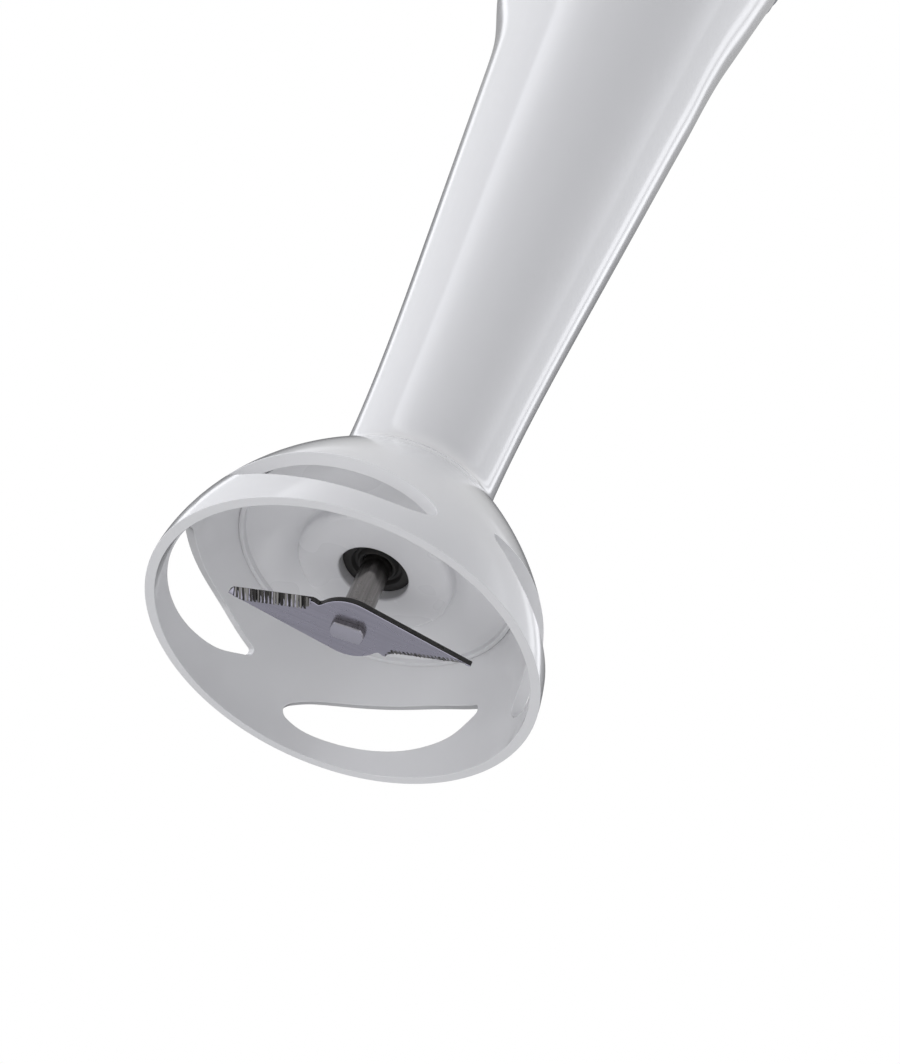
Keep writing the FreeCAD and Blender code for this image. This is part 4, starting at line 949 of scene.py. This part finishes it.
def bezel_mesh():
    """The frame round both buttons, slightly crowned and proud of the housing."""
    marks = round_marks(0, BEZEL_HALF, 24) + round_marks(0, BUTTON_HOLE, 24)
    columns = columns_across(FRONT, marks, BUTTONS_RADIUS,
                             reach=math.degrees(math.asin(BEZEL_HALF / BUTTONS_RADIUS)), step=2.0)

    def across(degrees):
        return BUTTONS_RADIUS * math.sin(math.radians(degrees - FRONT))

    def edges_at(degrees):
        outer = math.sqrt(max(BEZEL_HALF ** 2 - across(degrees) ** 2, 0.0))
        hole = math.sqrt(max(BUTTON_HOLE ** 2 - across(degrees) ** 2, 0.0))
        return (HIGH_BUTTON - outer, HIGH_BUTTON - hole, HIGH_BUTTON + hole, LOW_BUTTON - hole,
                LOW_BUTTON + hole, LOW_BUTTON + outer)

    def place(degrees, level, depth):
        crown = BEZEL_CROWN * max(1 - (across(degrees) / BEZEL_HALF) ** 2, 0.0)
        x, y, z = handle_point(FRONT, degrees, level, depth)
        return x, y - (BEZEL_PROUD - BEZEL_CROWN + crown if depth == 0 else 0.0), z

    return shell(columns, edges_at, [even(3), [1.0], even(3), [1.0], even(3)],
                 lambda degrees, band: band in (1, 3) and abs(across(degrees)) < BUTTON_HOLE,
                 place, lambda level: BEZEL_WALL, closed=False)


stand_in("button_frame", bezel_mesh(), "button_bezel", "handle", edge=0.22)


def button_mesh(level, dots):
    """A round button with a shallow finger dish, raised dots, a flange behind and a stem."""
    face = handle_radius(level) + BUTTON_PROUD
    outline = [(0.0, STEM_BACK), (STEM_RADIUS, STEM_BACK), (STEM_RADIUS, FLANGE_BACK),
               (FLANGE_RADIUS, FLANGE_BACK), (FLANGE_RADIUS, FLANGE_FRONT), (BUTTON_RADIUS, FLANGE_FRONT)]
    outline += filleted([(BUTTON_RADIUS, 24.0), (BUTTON_RADIUS, face - 0.95, 0.75), (5.0, face - 0.15, 0.8),
                         (0.0, face - 0.75)], steps=6)[1:-1]
    outline += [(2.4, face - 0.56), (1.2, face - 0.7), (0.0, face - 0.74)]
    parts = [lathe([(max(r, 0.0), depth) for r, depth in outline], 96)]
    for across in dots:
        dome = [(0.0, face - 1.2), (0.9, face - 1.2), (0.9, face - 0.55), (0.7, face - 0.4),
                (0.36, face - 0.31), (0.0, face - 0.28)]
        parts.append(moved(lathe(dome, 24), lambda v, across=across: v + Vector((across, 0, 0))))
    return moved(joined(*parts), lambda v: Vector((v.x, -v.z, level + v.y)))


stand_in("low_speed_button", button_mesh(LOW_BUTTON, (0.0,)), "low_button", "low_button")
stand_in("high_speed_button", button_mesh(HIGH_BUTTON, (-1.5, 1.5)), "high_button", "high_button")

SPRING_WIRE = 0.35
SPRING_TURNS = 4.5


def spring_mesh(low, high):
    """A coil along Y in the given box, its end turns lying closer."""
    radius = (high.x - low.x) / 2 - SPRING_WIRE
    middle = (low + high) / 2
    length = high.y - low.y - 2 * SPRING_WIRE
    steps = 150
    wire_sides = 10
    rings = []
    for i in range(steps + 1):
        share = i / steps
        angle = 2 * math.pi * SPRING_TURNS * share
        across = Vector((math.cos(angle), 0, math.sin(angle)))
        rise = share - math.sin(2 * math.pi * share) / 14
        centre = Vector((middle.x, low.y + SPRING_WIRE + length * rise, middle.z)) + across * radius
        rings.append([centre + SPRING_WIRE * (across * math.cos(turn) + Vector((0, math.sin(turn), 0)))
                      for turn in (2 * math.pi * k / wire_sides for k in range(wire_sides))])
    return stacked(rings)


for side in ("low", "high"):
    node = side + "_spring"
    low, high = (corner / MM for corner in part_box(node))
    spring = stand_in(node + "_wire", spring_mesh(low, high), node, "handle")
    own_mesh(spring)

# ---------------------------------------------------------------- top cap and cord inlet

CAP_BASE = 366.3
CAP_TOP = 388.0
CAP_WALL = 2.2
CAP_RADIUS = 26.8
CAP_CORNER = (21.3, 380.5)
CAP_FLAT = 11.0
INLET_RADIUS = 5.4
CAP_VENTS = 10
VENT_INNER = 13.0
VENT_OUTER = 18.5
VENT_MIDDLE = 15.5
CAP_VENT_HALF = 0.8
SPIGOT_BASE = 362.5
SPIGOT_TOP = 368.0
SPIGOT_RADIUS = 24.2
SPIGOT_BORE = 22.4
POST_BASE = 374.1
POST_TOP = 386.5
POST_X = 7.0


def arc_points(start, end, radius, count):
    """Points on an arc that bulges outwards from start to end."""
    start, end = Vector(start), Vector(end)
    chord = end - start
    normal = Vector((-chord.y, chord.x)).normalized()
    centre = (start + end) / 2 + normal * math.sqrt(radius ** 2 - chord.length_squared / 4)
    first = math.atan2(start.y - centre.y, start.x - centre.x)
    last = math.atan2(end.y - centre.y, end.x - centre.x)
    return [centre + Vector((math.cos(a), math.sin(a))) * radius for a in np.linspace(first, last, count)]


cap_profile = [Vector((CAP_RADIUS, CAP_BASE)), Vector((CAP_RADIUS, CAP_BASE + 0.75))]
cap_profile += arc_points((CAP_RADIUS, CAP_BASE + 1.5), CAP_CORNER, 24.0, 14)
cap_profile += arc_points(CAP_CORNER, (CAP_FLAT, CAP_TOP), 13.0, 16)[1:]
cap_profile += [Vector((r, CAP_TOP)) for r in (9.0, 7.0, INLET_RADIUS)]


def cap_spot(position):
    """(radius, height) and the way in, at a position counted in profile points."""
    k = min(max(int(position), 0), len(cap_profile) - 2)
    spot = cap_profile[k].lerp(cap_profile[k + 1], position - k)
    ahead = cap_profile[min(k + 2, len(cap_profile) - 1)] - cap_profile[k + 1]
    here = cap_profile[k + 1] - cap_profile[k]
    behind = here if k == 0 else cap_profile[k] - cap_profile[k - 1]
    share = position - k
    heading = (behind.normalized().lerp(here.normalized(), 0.5 + share / 2) if share < 0.5 else
               here.normalized().lerp(ahead.normalized() if ahead.length else here.normalized(), share / 2))
    return spot, Vector((-heading.y, heading.x)).normalized()


def cap_position(radius):
    """Where on the profile's top side the cap has a radius."""
    for k in range(len(cap_profile) - 1, 0, -1):
        near, far = cap_profile[k].x, cap_profile[k - 1].x
        if near <= radius <= far and far > near:
            return k - 1 + (far - radius) / (far - near)
    return 0.0


def cap_mesh():
    """The domed cap with its vents, the spigot that sits in the housing, and the clamp's screw posts."""
    pitch = 360 / CAP_VENTS
    offsets = []
    for k in range(CAP_VENTS):
        middle = pitch * (k + 0.5)
        offsets += [middle + math.degrees(x / VENT_MIDDLE) for x in round_marks(0, CAP_VENT_HALF, 8)]
    columns = between([0.0] + offsets + [360.0], 3.0)[:-1]
    outer, inner = cap_position(VENT_OUTER), cap_position(VENT_INNER)

    def across(degrees):
        off = (degrees % pitch) - pitch / 2
        return math.radians(abs(off)) * VENT_MIDDLE / CAP_VENT_HALF

    def edges_at(degrees):
        half = math.sqrt(max(1 - across(degrees) ** 2, 0.0))
        ease = 1.2 * (1 - half)
        return 0.0, outer + ease, inner - ease, len(cap_profile) - 1.0

    def place(degrees, position, depth):
        spot, inward = cap_spot(position)
        spot = spot + inward * depth
        return spun(spot.x, degrees, spot.y)

    crown = shell(columns, edges_at, [even(24), even(5), even(12)],
                  lambda degrees, band: band == 1 and across(degrees) < 1, place, lambda level: CAP_WALL)
    spigot = lathe([(SPIGOT_BORE, SPIGOT_BASE), (SPIGOT_RADIUS, SPIGOT_BASE),
                    (SPIGOT_RADIUS, CAP_BASE + 0.05), (25.4, CAP_BASE + 0.05), (25.4, SPIGOT_TOP),
                    (SPIGOT_BORE, SPIGOT_TOP)])
    posts = [moved(lathe([(1.2, POST_BASE), (2.6, POST_BASE), (2.6, POST_TOP), (1.2, POST_TOP)], 32),
                   lambda v, side=side: v + Vector((POST_X * side, 0, 0))) for side in (-1, 1)]
    return joined(crown, spigot, *posts)


stand_in("top_cap_moulding", cap_mesh(), "top_cap", "handle", edge=0.25)
inlet_outline = filleted([
    (3.6, 381.0), (5.35, 381.0), (5.35, CAP_TOP + 0.02), (8.2, CAP_TOP + 0.02, 0.15),
    (8.2, CAP_TOP + 1.6, 0.7), (6.3, CAP_TOP + 1.6, 0.3), (5.9, CAP_TOP + 1.1, 0.3),
    (4.6, CAP_TOP + 1.1, 0.5), (3.6, CAP_TOP + 0.4, 0.4)])
stand_in("cord_inlet_bush", lathe(inlet_outline, 96), "cord_inlet", "handle")

# ---------------------------------------------------------------- camera, light and floor

CAMERA_PLACE = (0.22210, 0.00881, -0.16613)
CAMERA_FORWARD = Vector((-0.74633, 0.0, 0.66557))
CAMERA_ROLL = math.radians(22.847)
LENS = 60.0
FLOOR_LEVEL = -0.5
FLOOR_HALF = 40.0

camera_data = bpy.data.cameras.new("camera")
camera_data.lens = LENS
camera_data.sensor_width = 36.0
camera_data.clip_start = 0.01
camera = bpy.data.objects.new("camera", camera_data)
bpy.context.scene.collection.objects.link(camera)
side = CAMERA_FORWARD.cross(Vector((0, 0, 1))).normalized()
rise = side.cross(CAMERA_FORWARD).normalized()
right = side * math.cos(CAMERA_ROLL) + rise * math.sin(CAMERA_ROLL)
above = right.cross(CAMERA_FORWARD)
turn = Matrix((right, above, -CAMERA_FORWARD)).transposed()
camera.matrix_world = Matrix.Translation(CAMERA_PLACE) @ turn.to_4x4()
bpy.context.scene.camera = camera


def area_light(name, place, target, size, power):
    """A soft light that glossy surfaces don't mirror: the studio around them does that."""
    data = bpy.data.lights.new(name, "AREA")
    data.shape = "RECTANGLE"
    data.size, data.size_y = size
    data.energy = power
    lamp = bpy.data.objects.new(name, data)
    lamp.location = place
    lamp.rotation_euler = (Vector(target) - Vector(place)).to_track_quat("-Z", "Y").to_euler()
    lamp.visible_glossy = False
    bpy.context.scene.collection.objects.link(lamp)


area_light("key", (0.5, 0.9, 0.7), (0, 0, 0.12), (0.6, 0.6), 3.1)
area_light("left box", (0.28, -0.75, 0.1), (0, 0, 0.05), (0.25, 0.5), 2.0)
area_light("underneath", (0.1, 0.1, -0.48), (0, 0, 0), (0.7, 0.7), 0.75)
area_light("low strip", (0.2, -0.45, -0.4), (0, 0, 0.01), (0.3, 0.03), 0.5)

# The studio around the blender, as (azimuth in degrees, radiance), with bright softboxes to both sides.
STUDIO = [(-180, 0.1), (-146, 0.1), (-141, 1.4), (-136, 1.4), (-132, 0.85), (-71, 0.85), (-67, 1.9),
          (-42, 0.75), (-18, 0.32), (10, 0.3), (34, 0.42), (60, 0.62), (83, 1.2), (87, 0.85), (112, 0.85),
          (116, 1.7), (122, 1.7), (126, 0.5), (131, 1.7), (136, 1.7), (141, 0.12), (180, 0.12)]
# The far floor's brightness in a render, which the backdrop starts from at the horizon.
FLOOR_TONE = 0.5
ROOF_TONE = 0.7


def studio_world():
    """Lights and mirrors the studio round the blender. The camera sees a plain paper backdrop instead."""
    world = bpy.data.worlds.new("studio")
    bpy.context.scene.world = world
    world.use_nodes = True
    sky = world.node_tree
    direction = add(sky, "ShaderNodeTexCoord")
    parts = add(sky, "ShaderNodeSeparateXYZ")
    sky.links.new(direction.outputs["Generated"], parts.inputs["Vector"])
    azimuth = add(sky, "ShaderNodeMath", operation="ARCTAN2")
    sky.links.new(parts.outputs["Y"], azimuth.inputs[0])
    sky.links.new(parts.outputs["X"], azimuth.inputs[1])
    share = add(sky, "ShaderNodeMapRange")
    share.inputs["From Min"].default_value = -math.pi
    share.inputs["From Max"].default_value = math.pi
    sky.links.new(azimuth.outputs[0], share.inputs["Value"])
    brightest = max(level for _, level in STUDIO)
    bands = add(sky, "ShaderNodeValToRGB")
    sky.links.new(share.outputs[0], bands.inputs["Fac"])
    elements = bands.color_ramp.elements
    while len(elements) > 1:
        elements.remove(elements[-1])
    for i, (degrees, level) in enumerate(STUDIO):
        place = (degrees + 180) / 360
        element = elements[0] if i == 0 else elements.new(place)
        element.position = place
        tone = level / brightest
        element.color = (tone * 0.955, tone * 0.965, tone, 1)
    overhead = add(sky, "ShaderNodeMapRange")
    for name, number in (("From Min", 0.75), ("From Max", 0.95), ("To Min", 0.0), ("To Max", 1.0)):
        overhead.inputs[name].default_value = number
    sky.links.new(parts.outputs["Z"], overhead.inputs["Value"])
    blend = add(sky, "ShaderNodeMix", data_type="RGBA")
    sky.links.new(overhead.outputs[0], blend.inputs["Factor"])
    sky.links.new(bands.outputs["Color"], blend.inputs["A"])
    roof = ROOF_TONE / brightest
    blend.inputs["B"].default_value = (roof, roof, roof, 1)
    surroundings = next(n for n in sky.nodes if n.type == "BACKGROUND")
    surroundings.inputs["Strength"].default_value = brightest
    sky.links.new(blend.outputs["Result"], surroundings.inputs["Color"])
    paper = add(sky, "ShaderNodeBackground", Color=(1, 1, 1, 1), Strength=1.0)
    rise = add(sky, "ShaderNodeMapRange", interpolation_type="SMOOTHSTEP")
    for name, number in (("From Min", 0.0), ("From Max", 0.3), ("To Min", FLOOR_TONE), ("To Max", 1.0)):
        rise.inputs[name].default_value = number
    sky.links.new(parts.outputs["Z"], rise.inputs["Value"])
    sky.links.new(rise.outputs[0], paper.inputs["Strength"])
    seen = add(sky, "ShaderNodeLightPath")
    pick = add(sky, "ShaderNodeMixShader")
    output = next(n for n in sky.nodes if n.type == "OUTPUT_WORLD")
    sky.links.new(seen.outputs["Is Camera Ray"], pick.inputs["Fac"])
    sky.links.new(surroundings.outputs[0], pick.inputs[1])
    sky.links.new(paper.outputs[0], pick.inputs[2])
    sky.links.new(pick.outputs[0], output.inputs["Surface"])


studio_world()

floor_mesh = bpy.data.meshes.new("floor")
floor_mesh.from_pydata([(x * FLOOR_HALF, y * FLOOR_HALF, FLOOR_LEVEL)
                        for x, y in ((-1, -1), (1, -1), (1, 1), (-1, 1))], [], [(0, 1, 2, 3)])
floor = bpy.data.objects.new("floor", floor_mesh)
bpy.context.scene.collection.objects.link(floor)
floor_look, _, floor_shader = new_material("pale floor")
floor_shader.inputs["Base Color"].default_value = (0.74, 0.74, 0.74, 1)
floor_shader.inputs["Roughness"].default_value = 0.6
floor_mesh.materials.append(floor_look)

bpy.context.scene.view_settings.view_transform = "Standard"
